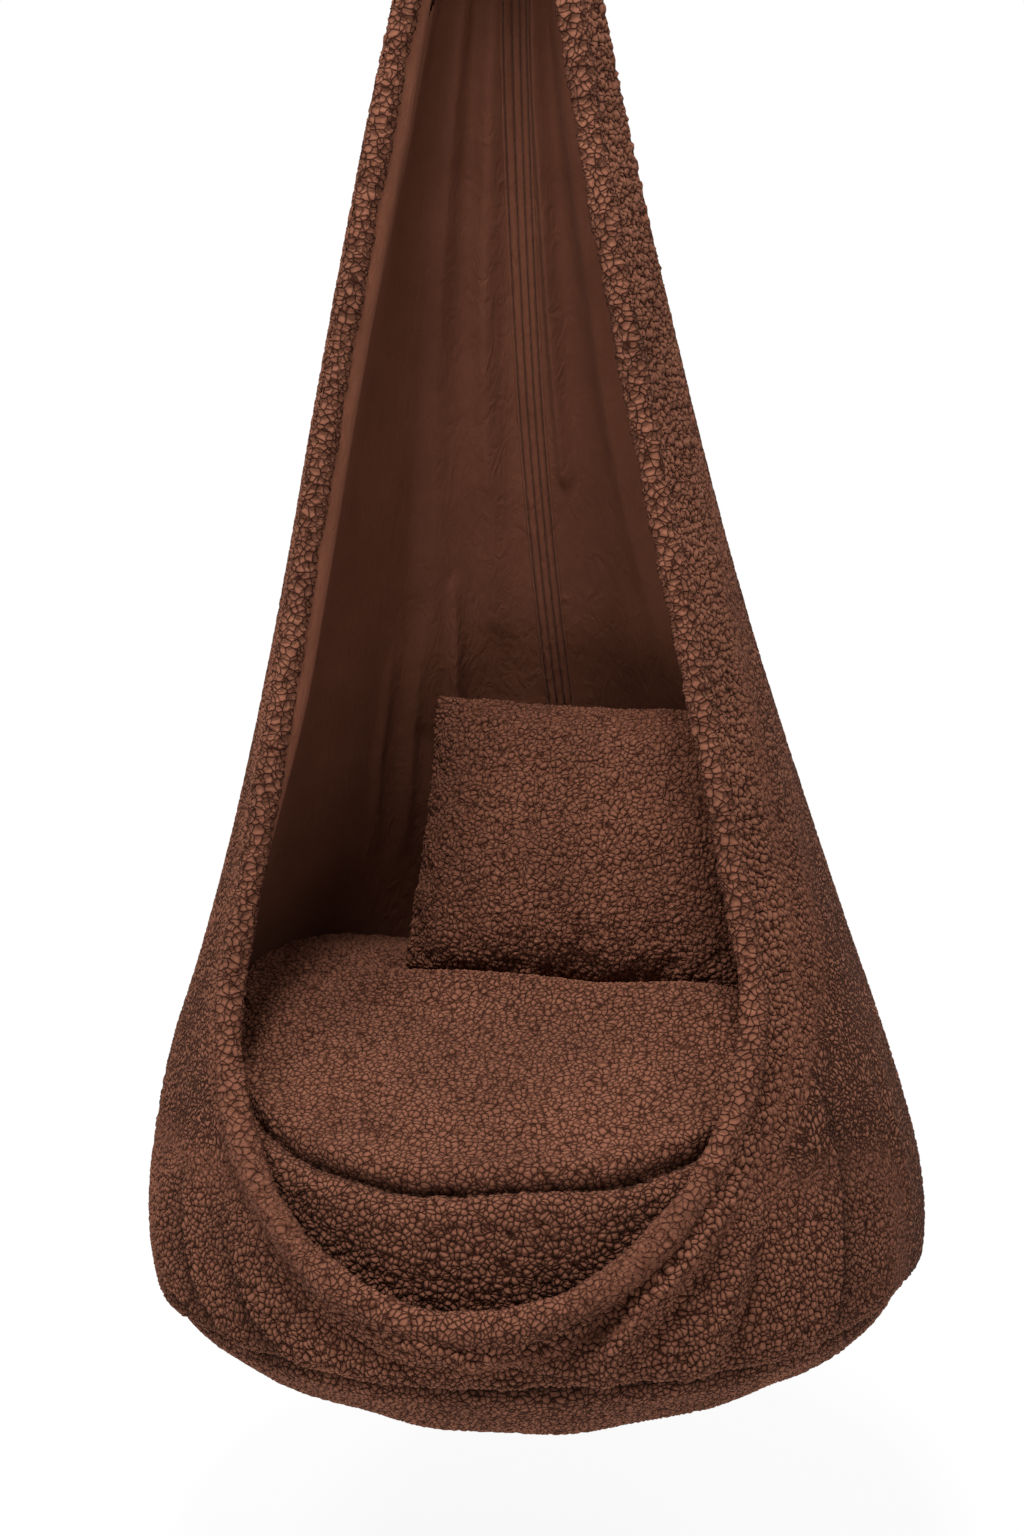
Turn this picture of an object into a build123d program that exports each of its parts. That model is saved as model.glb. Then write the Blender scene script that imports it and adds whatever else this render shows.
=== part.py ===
"""Hanging pod chair: a fleece cone with a teardrop opening, slung from a snap hook and a ball-bearing swivel.

Heights are given above the lowest point of the pod. The finished pieces are moved so that the centre of the
ceiling eye is the origin, Z points up and the opening faces -Y. Millimetres throughout.
"""
import os
from math import asin, cos, degrees, hypot, pi, sin, sqrt, tan

from build123d import *

# Pod shell: radius and height of each joint of its profile, from the neck to the floor
HIP_RADIUS = 377.5
HIP_HEIGHT = 140.0
NECK_RADIUS = 38.0
NECK_HEIGHT = 1550.0
CONE_RADIUS = 0.5113 * HIP_RADIUS
CONE_HEIGHT = 862.0
FLARE_RADIUS = 0.853 * HIP_RADIUS
FLARE_HEIGHT = 393.0
SHOULDER_RADIUS = 0.9722 * HIP_RADIUS
SHOULDER_HEIGHT = 230.0
SEAM_RADIUS = 0.9536 * HIP_RADIUS
SEAM_HEIGHT = 88.0
FLOOR_RADIUS = 0.4768 * HIP_RADIUS

# Layers of the shell, from the outside in
WALL_THICKNESS = 9.0
STRAP_THICKNESS = 1.5
LINING_THICKNESS = 1.5
TAPE_THICKNESS = 1.2
LAYER_GAP = 0.4

# Folds of the hanging wall
FOLD_COUNT = 12
FOLD_NECK = 2.4
FOLD_WAIST = 1.2
FOLD_HIP = 5.0

# Neck cap over the gathered top
CAP_DEPTH = 76.0
CAP_FOOT = NECK_HEIGHT - CAP_DEPTH
CAP_THICKNESS = 5.0

# Teardrop opening, on the centre line of its rolled rim: a circle and its two tangents to a point above
OPENING_RADIUS = 244.0
OPENING_HEIGHT = 398.0
OPENING_APEX = NECK_HEIGHT + 147.0
LINING_APEX = NECK_HEIGHT + 126.0
RIM_RADIUS = 11.5
ROPE_RADIUS = 5.0
RIM_TOP = CAP_FOOT - 8.0

STRAP_WIDTH = 30.0
STRAP_SETBACK = 8.0
TAPE_WIDTH = 30.0
TAPE_LAP = 0.3
TAPE_FOOT = 345.0

# Round seat cushion, its domed top highest behind the middle
SEAT_CLEARANCE = 9.0
SEAT_PINCH = 9.0
SEAT_CROWN = 388.0
SEAT_DOME = 956.0
SEAT_DOME_BACK = 134.5
SEAT_EDGE = 400.0
SEAT_BOTTOM_SEAM = 98.0
COVER_THICKNESS = 6.0

# Scatter pillow
PILLOW_SIDE = 300.0
PILLOW_DEPTH = 108.0
PILLOW_DRAW = 9.0
PILLOW_CORNER = 20.0
PILLOW_LEAN = 24.0
PILLOW_TURN = -8.0
PILLOW_ASIDE = 42.0
PILLOW_HEIGHT = 515.9
PILLOW_SETBACK = 60.0

# Zips of the two covers
ZIP_WIDTH = 8.0
ZIP_THICKNESS = 1.6
SEAT_ZIP_ANGLE = 80.0
PILLOW_ZIP_LENGTH = 220.0

# Webbing sling and D-ring
SLING_WIDTH = 40.0
SLING_THICKNESS = 3.0
SLING_RISE = 92.0
RING_BAR = 8.0
RING_LEG = 8.0

# Snap hook, bent from round bar
HOOK_BAR = 10.0
HOOK_LENGTH = 100.0
HOOK_WIDTH = 50.0
HOOK_TONGUE = 4.0
HOOK_PIN = 3.6

# Swivel
SWIVEL_BAR = 10.0
SWIVEL_EYE = 30.0
STEM_RADIUS = 7.0
HEAD_RADIUS = 11.4
HEAD_HEIGHT = 8.0
HOUSING_RADIUS = 17.0
HOUSING_HEIGHT = 27.0
BALL_COUNT = 10
BALL_RADIUS = 2.0
EYE_BORE = 26.0
EYE_WIDTH = 46.0
EYE_THICKNESS = 12.0

CLEARANCE = 0.3
HANG_TILT = -0.764

# Depth of each layer's outer face below the outer face of the wall
STRAP_DEPTH = WALL_THICKNESS + LAYER_GAP
CROSS_DEPTH = STRAP_DEPTH + STRAP_THICKNESS + LAYER_GAP
LINING_DEPTH = CROSS_DEPTH + STRAP_THICKNESS + LAYER_GAP
TAPE_DEPTH = LINING_DEPTH + LINING_THICKNESS + LAYER_GAP
SEAT_DEPTH = TAPE_DEPTH + SEAT_CLEARANCE

# Heights up the hanging line
RING_HEIGHT = NECK_HEIGHT + SLING_RISE
RING_BOW = RING_HEIGHT + RING_LEG + SLING_WIDTH / 2 + RING_BAR / 2
HOOK_BOTTOM = RING_BOW - RING_BAR / 2 - HOOK_BAR / 2 - CLEARANCE
HOOK_TOP = HOOK_BOTTOM + HOOK_LENGTH - HOOK_BAR
EYE_BAR = HOOK_TOP - HOOK_BAR / 2 - SWIVEL_BAR / 2 - CLEARANCE
EYE_CENTRE = EYE_BAR + SWIVEL_EYE / 2 + SWIVEL_BAR / 2
HOUSING_FOOT = EYE_CENTRE + SWIVEL_EYE / 2 + SWIVEL_BAR + 2
HANG_HEIGHT = HOUSING_FOOT + HOUSING_HEIGHT + EYE_BORE / 2 + 8

STATIONS = [
    (NECK_RADIUS, NECK_HEIGHT),
    (CONE_RADIUS, CONE_HEIGHT),
    (FLARE_RADIUS, FLARE_HEIGHT),
    (SHOULDER_RADIUS, SHOULDER_HEIGHT),
    (HIP_RADIUS, HIP_HEIGHT),
    (SEAM_RADIUS, SEAM_HEIGHT),
    (FLOOR_RADIUS, 0.0),
    (0.0, 0.0),
]
NECK, CONE, FLARE, SHOULDER, HIP, SEAM, FLOOR, CENTRE = range(8)
STRAIGHT = (NECK, FLOOR)


def chord(index):
    """Vector from one joint of the profile to the next."""
    (r0, h0), (r1, h1) = STATIONS[index], STATIONS[index + 1]
    return r1 - r0, h1 - h0


def headings():
    """Unit direction of the profile at each joint; each arc leaves tangent to what comes before it."""
    run, rise = chord(NECK)
    size = hypot(run, rise)
    found = [(run / size, rise / size)]
    for index in range(CENTRE):
        (tr, th), (run, rise) = found[-1], chord(index)
        size2 = run * run + rise * rise
        along = 2 * (tr * run + th * rise) / size2
        found.append((along * run - tr, along * rise - th))
    found[FLOOR] = found[CENTRE] = (-1.0, 0.0)
    return found


HEADINGS = headings()


def joint(index, depth):
    """Joint of the profile moved this far into the shell, as radius and height."""
    (radius, height), (tr, th) = STATIONS[index], HEADINGS[index]
    return radius + depth * th, height - depth * tr


def skin(depth, first, last):
    """Edges of the profile between two joints, this far into the shell."""
    edges = []
    for index in range(first, last):
        (r0, h0), (r1, h1) = joint(index, depth), joint(index + 1, depth)
        if index in STRAIGHT:
            edges.append(Line((r0, 0, h0), (r1, 0, h1)))
        else:
            tr, th = HEADINGS[index]
            edges.append(TangentArc((r0, 0, h0), (r1, 0, h1), tangent=(tr, 0, th)))
    return edges


def layer(outer, inner, first, last):
    """Turned layer of the shell between two depths and two joints of the profile."""
    (r0, h0), (r1, h1) = joint(first, outer), joint(first, inner)
    (r2, h2), (r3, h3) = joint(last, outer), joint(last, inner)
    edges = skin(outer, first, last) + skin(inner, first, last)
    edges.append(Line((r0, 0, h0), (r1, 0, h1)))
    if r2 != r3 or h2 != h3:
        edges.append(Line((r2, 0, h2), (r3, 0, h3)))
    return revolve(make_face(edges), Axis.Z)


def radius_at(height, depth):
    """Radius of the shell at a height above the seam, this far into it."""
    index = NECK
    while index < HIP and joint(index + 1, depth)[1] > height:
        index += 1
    (r0, h0), (r1, h1) = joint(index, depth), joint(index + 1, depth)
    if index in STRAIGHT:
        return r0 + (r1 - r0) * (height - h0) / (h1 - h0)
    (tr, th), (run, rise) = HEADINGS[index], (r1 - r0, h1 - h0)
    bend = (run * run + rise * rise) / (2 * (run * th - rise * tr))
    centre_r, centre_h = r0 + bend * th, h0 - bend * tr
    reach = sqrt(bend * bend - (height - centre_h) ** 2)
    return centre_r + (reach if bend > 0 else -reach)


def folded_ring(height, radius, fold):
    """Level section of the wall, with its folds as arcs that swell and sink by turns."""
    step = pi / FOLD_COUNT
    edges = []
    for index in range(2 * FOLD_COUNT):
        start = pi / 2 + (index - 0.5) * step
        middle = radius + (fold if index % 2 == 0 else -fold)
        edges.append(
            ThreePointArc(
                (radius * cos(start), radius * sin(start), height),
                (middle * cos(start + step / 2), middle * sin(start + step / 2), height),
                (radius * cos(start + step), radius * sin(start + step), height),
            )
        )
    return make_face(edges)


def folded_solid():
    """Filled form of the wall's outer face with its folds, a little past the neck and the seam."""
    waist = (CONE_HEIGHT + FLARE_HEIGHT) / 2
    upper = (NECK_HEIGHT + CONE_HEIGHT) / 2
    slope = (CONE_RADIUS - NECK_RADIUS) / (NECK_HEIGHT - CONE_HEIGHT)
    past = 0.28 * SEAM_HEIGHT
    below = SEAM_RADIUS - past * (SEAM_RADIUS - FLOOR_RADIUS) / SEAM_HEIGHT * 0.5
    rings = [
        (NECK_HEIGHT + 20, NECK_RADIUS - slope * 20, FOLD_NECK),
        (NECK_HEIGHT - 60, NECK_RADIUS + slope * 60, FOLD_NECK),
        (upper, radius_at(upper, 0), FOLD_NECK),
        (CONE_HEIGHT, CONE_RADIUS, (FOLD_NECK + FOLD_WAIST) / 2),
        (waist, radius_at(waist, 0), FOLD_WAIST),
        (FLARE_HEIGHT, FLARE_RADIUS, FOLD_HIP / 2),
        (SHOULDER_HEIGHT, SHOULDER_RADIUS, FOLD_HIP),
        (HIP_HEIGHT, HIP_RADIUS, FOLD_HIP),
        (SEAM_HEIGHT, SEAM_RADIUS, FOLD_HIP / 2),
        (SEAM_HEIGHT - past, below, FOLD_HIP / 2),
    ]
    return loft([folded_ring(*ring) for ring in rings])


OPENING_TILT = asin(OPENING_RADIUS / (OPENING_APEX - OPENING_HEIGHT))
RIM_DEPTH = WALL_THICKNESS / 2


def rim_point(along):
    """Point on the rim at a distance from the middle of the lip, measured in the front view."""
    side = 1 if along >= 0 else -1
    turn = abs(along) / OPENING_RADIUS
    if turn <= pi / 2 + OPENING_TILT:
        across = OPENING_RADIUS * sin(turn)
        height = OPENING_HEIGHT - OPENING_RADIUS * cos(turn)
    else:
        past = abs(along) - OPENING_RADIUS * (pi / 2 + OPENING_TILT)
        across = OPENING_RADIUS * cos(OPENING_TILT) - past * sin(OPENING_TILT)
        height = OPENING_HEIGHT + OPENING_RADIUS * sin(OPENING_TILT) + past * cos(OPENING_TILT)
    radius = radius_at(height, RIM_DEPTH)
    return Vector(side * across, -sqrt(radius * radius - across * across), height)


BEND = OPENING_RADIUS * (pi / 2 + OPENING_TILT)


def rim_stops(top):
    """Distances along the rim, evenly spaced in the bend and in the straight, up to a height on both sides."""
    straight = (top - OPENING_HEIGHT - OPENING_RADIUS * sin(OPENING_TILT)) / cos(OPENING_TILT)
    half = [BEND * index / 5 for index in range(1, 6)]
    half += [BEND + straight * index / 9 for index in range(1, 10)]
    return [-stop for stop in reversed(half)] + [0.0] + half


def disc(radius):
    """Round section built from three arcs."""
    spots = [(radius * cos(turn * pi / 3), radius * sin(turn * pi / 3)) for turn in range(7)]
    return make_face([ThreePointArc(*spots[start : start + 3]) for start in (0, 2, 4)])


def rim_tube(outer, inner=0.0):
    """Round roll that follows the edge of the opening from the neck, under the lip and back up."""
    section = disc(outer) - disc(inner) if inner else disc(outer)
    sections = []
    for stop in rim_stops(RIM_TOP):
        point = rim_point(stop)
        lead = rim_point(stop + 0.5) - rim_point(stop - 0.5)
        plane = Plane(origin=point, x_dir=(point.X, point.Y, 0), z_dir=lead)
        sections.append(plane * section)
    return loft(sections)


def opening_cut(offset, apex):
    """Prism through the front of the pod, this far outside the lip of the rim, narrowing to a point above."""
    radius = OPENING_RADIUS + offset
    tilt = asin(radius / (apex - OPENING_HEIGHT))
    reach = radius * cos(tilt)
    shoulder = OPENING_HEIGHT + radius * sin(tilt)
    top = CAP_FOOT + 6
    head = (apex - top) * tan(tilt)
    edges = [
        Line((-head, 0, top), (head, 0, top)),
        Line((head, 0, top), (reach, 0, shoulder)),
        ThreePointArc((reach, 0, shoulder), (0, 0, OPENING_HEIGHT - radius), (-reach, 0, shoulder)),
        Line((-reach, 0, shoulder), (-head, 0, top)),
    ]
    return extrude(make_face(edges), amount=2 * HIP_RADIUS, dir=(0, -1, 0))


def block(x0, x1, y0, y1, z0, z1):
    """Plain box between two corners."""
    centre = ((x0 + x1) / 2, (y0 + y1) / 2, (z0 + z1) / 2)
    return Pos(*centre) * Box(x1 - x0, y1 - y0, z1 - z0)


FAR = 2 * HIP_RADIUS
TOP = 2 * NECK_HEIGHT


def shell_pieces():
    """Wall, lining, straps, tape, base and the rolled rim with its rope."""
    reach = RIM_RADIUS + 2 * CLEARANCE
    sink = LINING_DEPTH - RIM_DEPTH
    tuck = sqrt(max(reach**2 - sink**2, 1.0)) + CLEARANCE
    wall = folded_solid() & layer(-25, WALL_THICKNESS, NECK, SEAM)
    wall = wall - opening_cut(reach, OPENING_APEX + reach / sin(OPENING_TILT))
    lining = layer(LINING_DEPTH, LINING_DEPTH + LINING_THICKNESS, NECK, SEAM)
    lining = lining - opening_cut(tuck, LINING_APEX)
    long_layer = layer(STRAP_DEPTH, STRAP_DEPTH + STRAP_THICKNESS, NECK, CENTRE)
    half = STRAP_WIDTH / 2
    lip = OPENING_HEIGHT - OPENING_RADIUS
    back_half = block(-half, half, 0, FAR, -10, TOP)
    front_half = block(-half, half, -FAR, 0, -10, lip - RIM_RADIUS - 1)
    cross_layer = layer(CROSS_DEPTH, CROSS_DEPTH + STRAP_THICKNESS, NECK, CENTRE)
    tape_layer = layer(TAPE_DEPTH, TAPE_DEPTH + TAPE_THICKNESS, NECK, HIP)
    lapped_layer = layer(TAPE_DEPTH + TAPE_LAP, TAPE_DEPTH + TAPE_LAP + TAPE_THICKNESS, NECK, HIP)
    tape = tape_layer & block(-TAPE_WIDTH / 2, 0, 0, FAR, TAPE_FOOT, CAP_FOOT)
    tape = tape + (lapped_layer & block(0, TAPE_WIDTH / 2, 0, FAR, TAPE_FOOT, CAP_FOOT))
    cross = cross_layer & block(-FAR, FAR, STRAP_SETBACK - half, STRAP_SETBACK + half, -10, TOP)
    return {
        "outer_wall": wall,
        "lining_wall": lining,
        "load_strap_long": long_layer & (back_half + front_half),
        "load_strap_cross": cross,
        "back_seam_tape": tape,
        "base_panel": Pos(0, 0, -LAYER_GAP) * layer(0, WALL_THICKNESS, SEAM, CENTRE),
        "base_lining": layer(LINING_DEPTH, LINING_DEPTH + LINING_THICKNESS, SEAM, CENTRE),
        "rim_roll": rim_tube(RIM_RADIUS, ROPE_RADIUS + CLEARANCE),
        "rim_rope": rim_tube(ROPE_RADIUS),
    }


def neck_pieces():
    """Cap over the gathered neck and the sling that passes up through it."""
    slope = (CONE_RADIUS - NECK_RADIUS) / (NECK_HEIGHT - CONE_HEIGHT)
    inner_top = NECK_HEIGHT + 4
    outer_top = inner_top + CAP_THICKNESS
    spare = FOLD_NECK + 1.0
    inner_foot = NECK_RADIUS + slope * (NECK_HEIGHT - CAP_FOOT) + spare
    inner_head = NECK_RADIUS + spare
    cap = Solid.make_cone(inner_foot + CAP_THICKNESS, inner_head + CAP_THICKNESS, outer_top - CAP_FOOT)
    cap = Pos(0, 0, CAP_FOOT) * Part(cap.wrapped)
    hollow = Solid.make_cone(inner_foot, inner_head, inner_top - CAP_FOOT)
    cap = cap - Pos(0, 0, CAP_FOOT) * Part(hollow.wrapped)
    outer_edge = cap.edges().group_by(Axis.Z)[-1].sort_by(SortBy.RADIUS)[-1]
    cap = fillet(outer_edge, CAP_THICKNESS * 0.9)
    inner = RING_BAR / 2 + CLEARANCE
    outer = inner + SLING_THICKNESS
    foot = CAP_FOOT - 4
    slot = block(
        -SLING_WIDTH / 2 - CLEARANCE,
        SLING_WIDTH / 2 + CLEARANCE,
        -outer - CLEARANCE,
        outer + CLEARANCE,
        CAP_FOOT,
        TOP,
    )
    loop = Pos(0, 0, RING_HEIGHT) * (Rot(0, 90, 0) * Cylinder(outer, SLING_WIDTH))
    loop = loop + block(-SLING_WIDTH / 2, SLING_WIDTH / 2, -outer, outer, foot, RING_HEIGHT)
    bar = Pos(0, 0, RING_HEIGHT) * (Rot(0, 90, 0) * Cylinder(inner, 2 * SLING_WIDTH))
    bar = bar + block(-SLING_WIDTH, SLING_WIDTH, -inner, inner, foot - 1, RING_HEIGHT)
    return {"neck_cap": cap - slot, "hanging_sling": loop - bar}


def seat_pieces():
    """Round seat cushion: domed top panel, side band, bottom panel, fill and the zip at the back."""
    middle = (SEAT_EDGE + SEAT_BOTTOM_SEAM) / 2

    def outline(inset):
        """Edges of the side and bottom of the cushion's profile, this far inside its cover."""
        edge_r = radius_at(SEAT_EDGE, SEAT_DEPTH) - SEAT_PINCH - inset
        low_r = radius_at(SEAT_BOTTOM_SEAM, SEAT_DEPTH) - SEAT_PINCH - inset
        side_r = radius_at(middle, SEAT_DEPTH) - inset
        floor_r = FLOOR_RADIUS * 0.9
        floor_h = TAPE_DEPTH + inset
        low_h = SEAT_BOTTOM_SEAM + 0.3 * inset
        side = ThreePointArc((edge_r, 0, SEAT_EDGE), (side_r, 0, middle), (low_r, 0, low_h))
        under = TangentArc((floor_r, 0, floor_h), (low_r, 0, low_h), tangent=(1, 0, 0))
        floor = Line((floor_r, 0, floor_h), (0, 0, floor_h))
        return side, [under, floor]

    def inside(inset):
        """Solid within the side and bottom, this far inside the cover, up to a level top."""
        side, bottom = outline(inset)
        level = Line(side @ 0, (0, 0, SEAT_EDGE))
        return Rot(0, 0, 90) * revolve(make_face([side, level, Line(level @ 1, bottom[1] @ 1)] + bottom), Axis.Z)

    def dome(inset):
        """Ball whose crown is the top of the cushion, this far inside the cover."""
        centre = (0, SEAT_DOME_BACK, SEAT_CROWN - SEAT_DOME)
        return Plane(origin=centre, x_dir=(0, 0, -1), z_dir=(0, 1, 0)) * Sphere(SEAT_DOME - inset)

    side, bottom = outline(0)
    side_in, bottom_in = outline(COVER_THICKNESS)
    band = [side, side_in, Line(side @ 0, side_in @ 0), Line(side @ 1, side_in @ 1)]
    cover_low = bottom + bottom_in
    cover_low.append(Line(bottom[0] @ 1, bottom_in[0] @ 1))
    cover_low.append(Line(bottom[1] @ 1, bottom_in[1] @ 1))
    core = inside(COVER_THICKNESS + CLEARANCE)
    zip_r = radius_at(middle, SEAT_DEPTH) + 3 * CLEARANCE
    ring = Rectangle(ZIP_THICKNESS, ZIP_WIDTH, align=(Align.MIN, Align.CENTER))
    track = revolve(Plane.XZ * Pos(zip_r, middle) * ring, Axis.Z, SEAT_ZIP_ANGLE)
    track = Rot(0, 0, 90 - SEAT_ZIP_ANGLE / 2) * track
    runner_r = zip_r + ZIP_THICKNESS + CLEARANCE
    runner = Pos(0, runner_r + 1.5, middle) * Box(9, 3, 12)
    runner = fillet(runner.edges().filter_by(Axis.Y), 2.5)
    tab = Pos(0, runner_r + 3.6, middle - 14) * Box(6, 1.2, 24)
    tab = fillet(tab.edges().filter_by(Axis.Y), 2.5)
    runner = Rot(0, 0, SEAT_ZIP_ANGLE / 2 - 2) * (runner + tab)
    return {
        "seat_cover_top": (dome(0) - dome(COVER_THICKNESS)) & core,
        "seat_cover_side": Rot(0, 0, 90) * revolve(make_face(band), Axis.Z) & dome(0),
        "seat_cover_bottom": revolve(make_face(cover_low), Axis.Z),
        "seat_fill": core & dome(COVER_THICKNESS + CLEARANCE),
        "seat_zip": track,
        "seat_zip_slider": runner,
    }


def pillow_outline(inset, rise):
    """Square outline with drawn-in sides, this far inside the seam and above it."""
    half = PILLOW_SIDE / 2 - inset
    share = half / (PILLOW_SIDE / 2)
    draw = PILLOW_DRAW * share
    corners = [(half, half), (-half, half), (-half, -half), (half, -half)]
    middles = [(0, half - draw), (draw - half, 0), (0, draw - half), (half - draw, 0)]
    edges = []
    for index, middle in enumerate(middles):
        edges.append(ThreePointArc(corners[index], middle, corners[(index + 1) % 4]))
    face = make_face(edges)
    return Pos(0, 0, rise) * fillet(face.vertices(), PILLOW_CORNER * share)


def pillow_half(inset):
    """Crowned half of the pillow above its seam, this far inside the cover."""
    deep = PILLOW_DEPTH / 2 - inset
    half = PILLOW_SIDE / 2
    steps = [(0.0, 0.0), (0.05, 0.36), (0.26, 0.76), (0.60, 1.0)]
    return loft([pillow_outline(inset + share * half, deep * rise) for share, rise in steps])


def pillow_pieces():
    """Scatter pillow: front, back, fill and the zip in its lower seam."""
    hollow = pillow_half(COVER_THICKNESS)
    hollow = hollow + mirror(hollow, Plane.XY)
    core = pillow_half(COVER_THICKNESS + CLEARANCE)
    core = core + mirror(core, Plane.XY)
    front = pillow_half(0) - hollow
    back = mirror(pillow_half(0), Plane.XY) - hollow
    half = PILLOW_SIDE / 2
    sweep = (half * half + PILLOW_DRAW * PILLOW_DRAW) / (2 * PILLOW_DRAW)
    centre = -half + PILLOW_DRAW - sweep
    turn = PILLOW_ZIP_LENGTH / sweep
    track_r = sweep - CLEARANCE
    near, far = track_r, track_r - ZIP_THICKNESS
    edges = [
        ThreePointArc(
            (-near * sin(turn / 2), centre + near * cos(turn / 2)),
            (0, centre + near),
            (near * sin(turn / 2), centre + near * cos(turn / 2)),
        ),
        ThreePointArc(
            (-far * sin(turn / 2), centre + far * cos(turn / 2)),
            (0, centre + far),
            (far * sin(turn / 2), centre + far * cos(turn / 2)),
        ),
        Line(
            (-near * sin(turn / 2), centre + near * cos(turn / 2)),
            (-far * sin(turn / 2), centre + far * cos(turn / 2)),
        ),
        Line(
            (near * sin(turn / 2), centre + near * cos(turn / 2)),
            (far * sin(turn / 2), centre + far * cos(turn / 2)),
        ),
    ]
    track = extrude(make_face(edges), amount=ZIP_WIDTH / 2, both=True)
    runner_r = far - CLEARANCE
    runner = Pos(0, runner_r - 0.9, 1.5) * Box(10, 1.8, 5)
    runner = fillet(runner.edges().filter_by(Axis.Y), 2.0)
    runner = Pos(0, centre, 0) * (Rot(0, 0, -degrees(turn) / 2 + 0.4) * runner)
    place = Pos(PILLOW_ASIDE, PILLOW_SETBACK, PILLOW_HEIGHT) * Rot(0, 0, PILLOW_TURN)
    place = place * Rot(90 - PILLOW_LEAN, 0, 0)
    return {
        "pillow_front": place * front,
        "pillow_back": place * back,
        "pillow_fill": place * core,
        "pillow_zip": place * track,
        "pillow_zip_slider": place * runner,
    }


def bar_sweep(path, bar):
    """Round bar bent along a path in the YZ or XZ plane."""
    plane = Plane(origin=path @ 0, z_dir=path % 0)
    return sweep(plane * Circle(bar / 2), path=path)


def ring_piece():
    """D-ring that the sling hangs from its straight bar."""
    half = SLING_WIDTH / 2 + RING_BAR / 2
    low, high = RING_HEIGHT, RING_HEIGHT + RING_LEG
    bar = Pos(0, 0, low) * (Rot(0, 90, 0) * Cylinder(RING_BAR / 2, 2 * half))
    bow = Wire(
        [
            Line((-half, 0, low), (-half, 0, high)),
            ThreePointArc((-half, 0, high), (0, 0, high + half), (half, 0, high)),
            Line((half, 0, high), (half, 0, low)),
        ]
    )
    ring = bar + bar_sweep(bow, RING_BAR)
    for side in (-half, half):
        ring = ring + Pos(side, 0, low) * Sphere(RING_BAR / 2)
    return ring


def hook_pieces():
    """Snap hook: bent body, gate with a slot at each end and the hinge pin."""
    bow = (HOOK_WIDTH - HOOK_BAR) / 2
    low, high = HOOK_BOTTOM + bow, HOOK_TOP - bow
    body = Wire(
        [
            Line((0, bow, low + 8), (0, bow, low)),
            ThreePointArc((0, bow, low), (0, 0, HOOK_BOTTOM), (0, -bow, low)),
            Line((0, -bow, low), (0, -bow, high)),
            ThreePointArc((0, -bow, high), (0, 0, HOOK_TOP), (0, bow, high)),
            Line((0, bow, high), (0, bow, high - 8)),
        ]
    )
    body = bar_sweep(body, HOOK_BAR)
    reach = HOOK_BAR
    thin = HOOK_TONGUE / 2
    for side in (-1, 1):
        cheek = side * (thin + reach)
        body = body - block(cheek - reach, cheek + reach, bow - reach, bow + reach, low - 0.8, high - 1)
    pivot = low + 4.5
    tongue_cut = block(-reach, reach, bow - reach, bow + reach, pivot, high - 6)
    knuckle = Pos(0, bow, pivot) * (Rot(0, 90, 0) * Cylinder(HOOK_BAR / 2 - 1, HOOK_TONGUE))
    body = body - tongue_cut + knuckle
    hole = Pos(0, bow, pivot) * (Rot(0, 90, 0) * Cylinder(HOOK_PIN / 2 + 0.05, 2 * HOOK_BAR))
    body = body - hole
    gate_low, gate_high = low + 1.6, high - 1.6
    gate = Pos(0, bow, (gate_low + gate_high) / 2) * Cylinder(HOOK_BAR / 2, gate_high - gate_low)
    gap = thin + CLEARANCE
    gate = gate - block(-gap, gap, bow - reach, bow + reach, gate_low - 1, pivot + HOOK_BAR / 2 + 0.4)
    gate = gate - block(-gap, gap, bow - reach, bow + reach, high - 9, gate_high + 1)
    gate = gate - hole
    pin = Pos(0, bow, pivot) * (Rot(0, 90, 0) * Cylinder(HOOK_PIN / 2, HOOK_BAR - 0.6))
    return {"hook_body": body, "hook_gate": gate, "hook_pin": pin}


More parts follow.
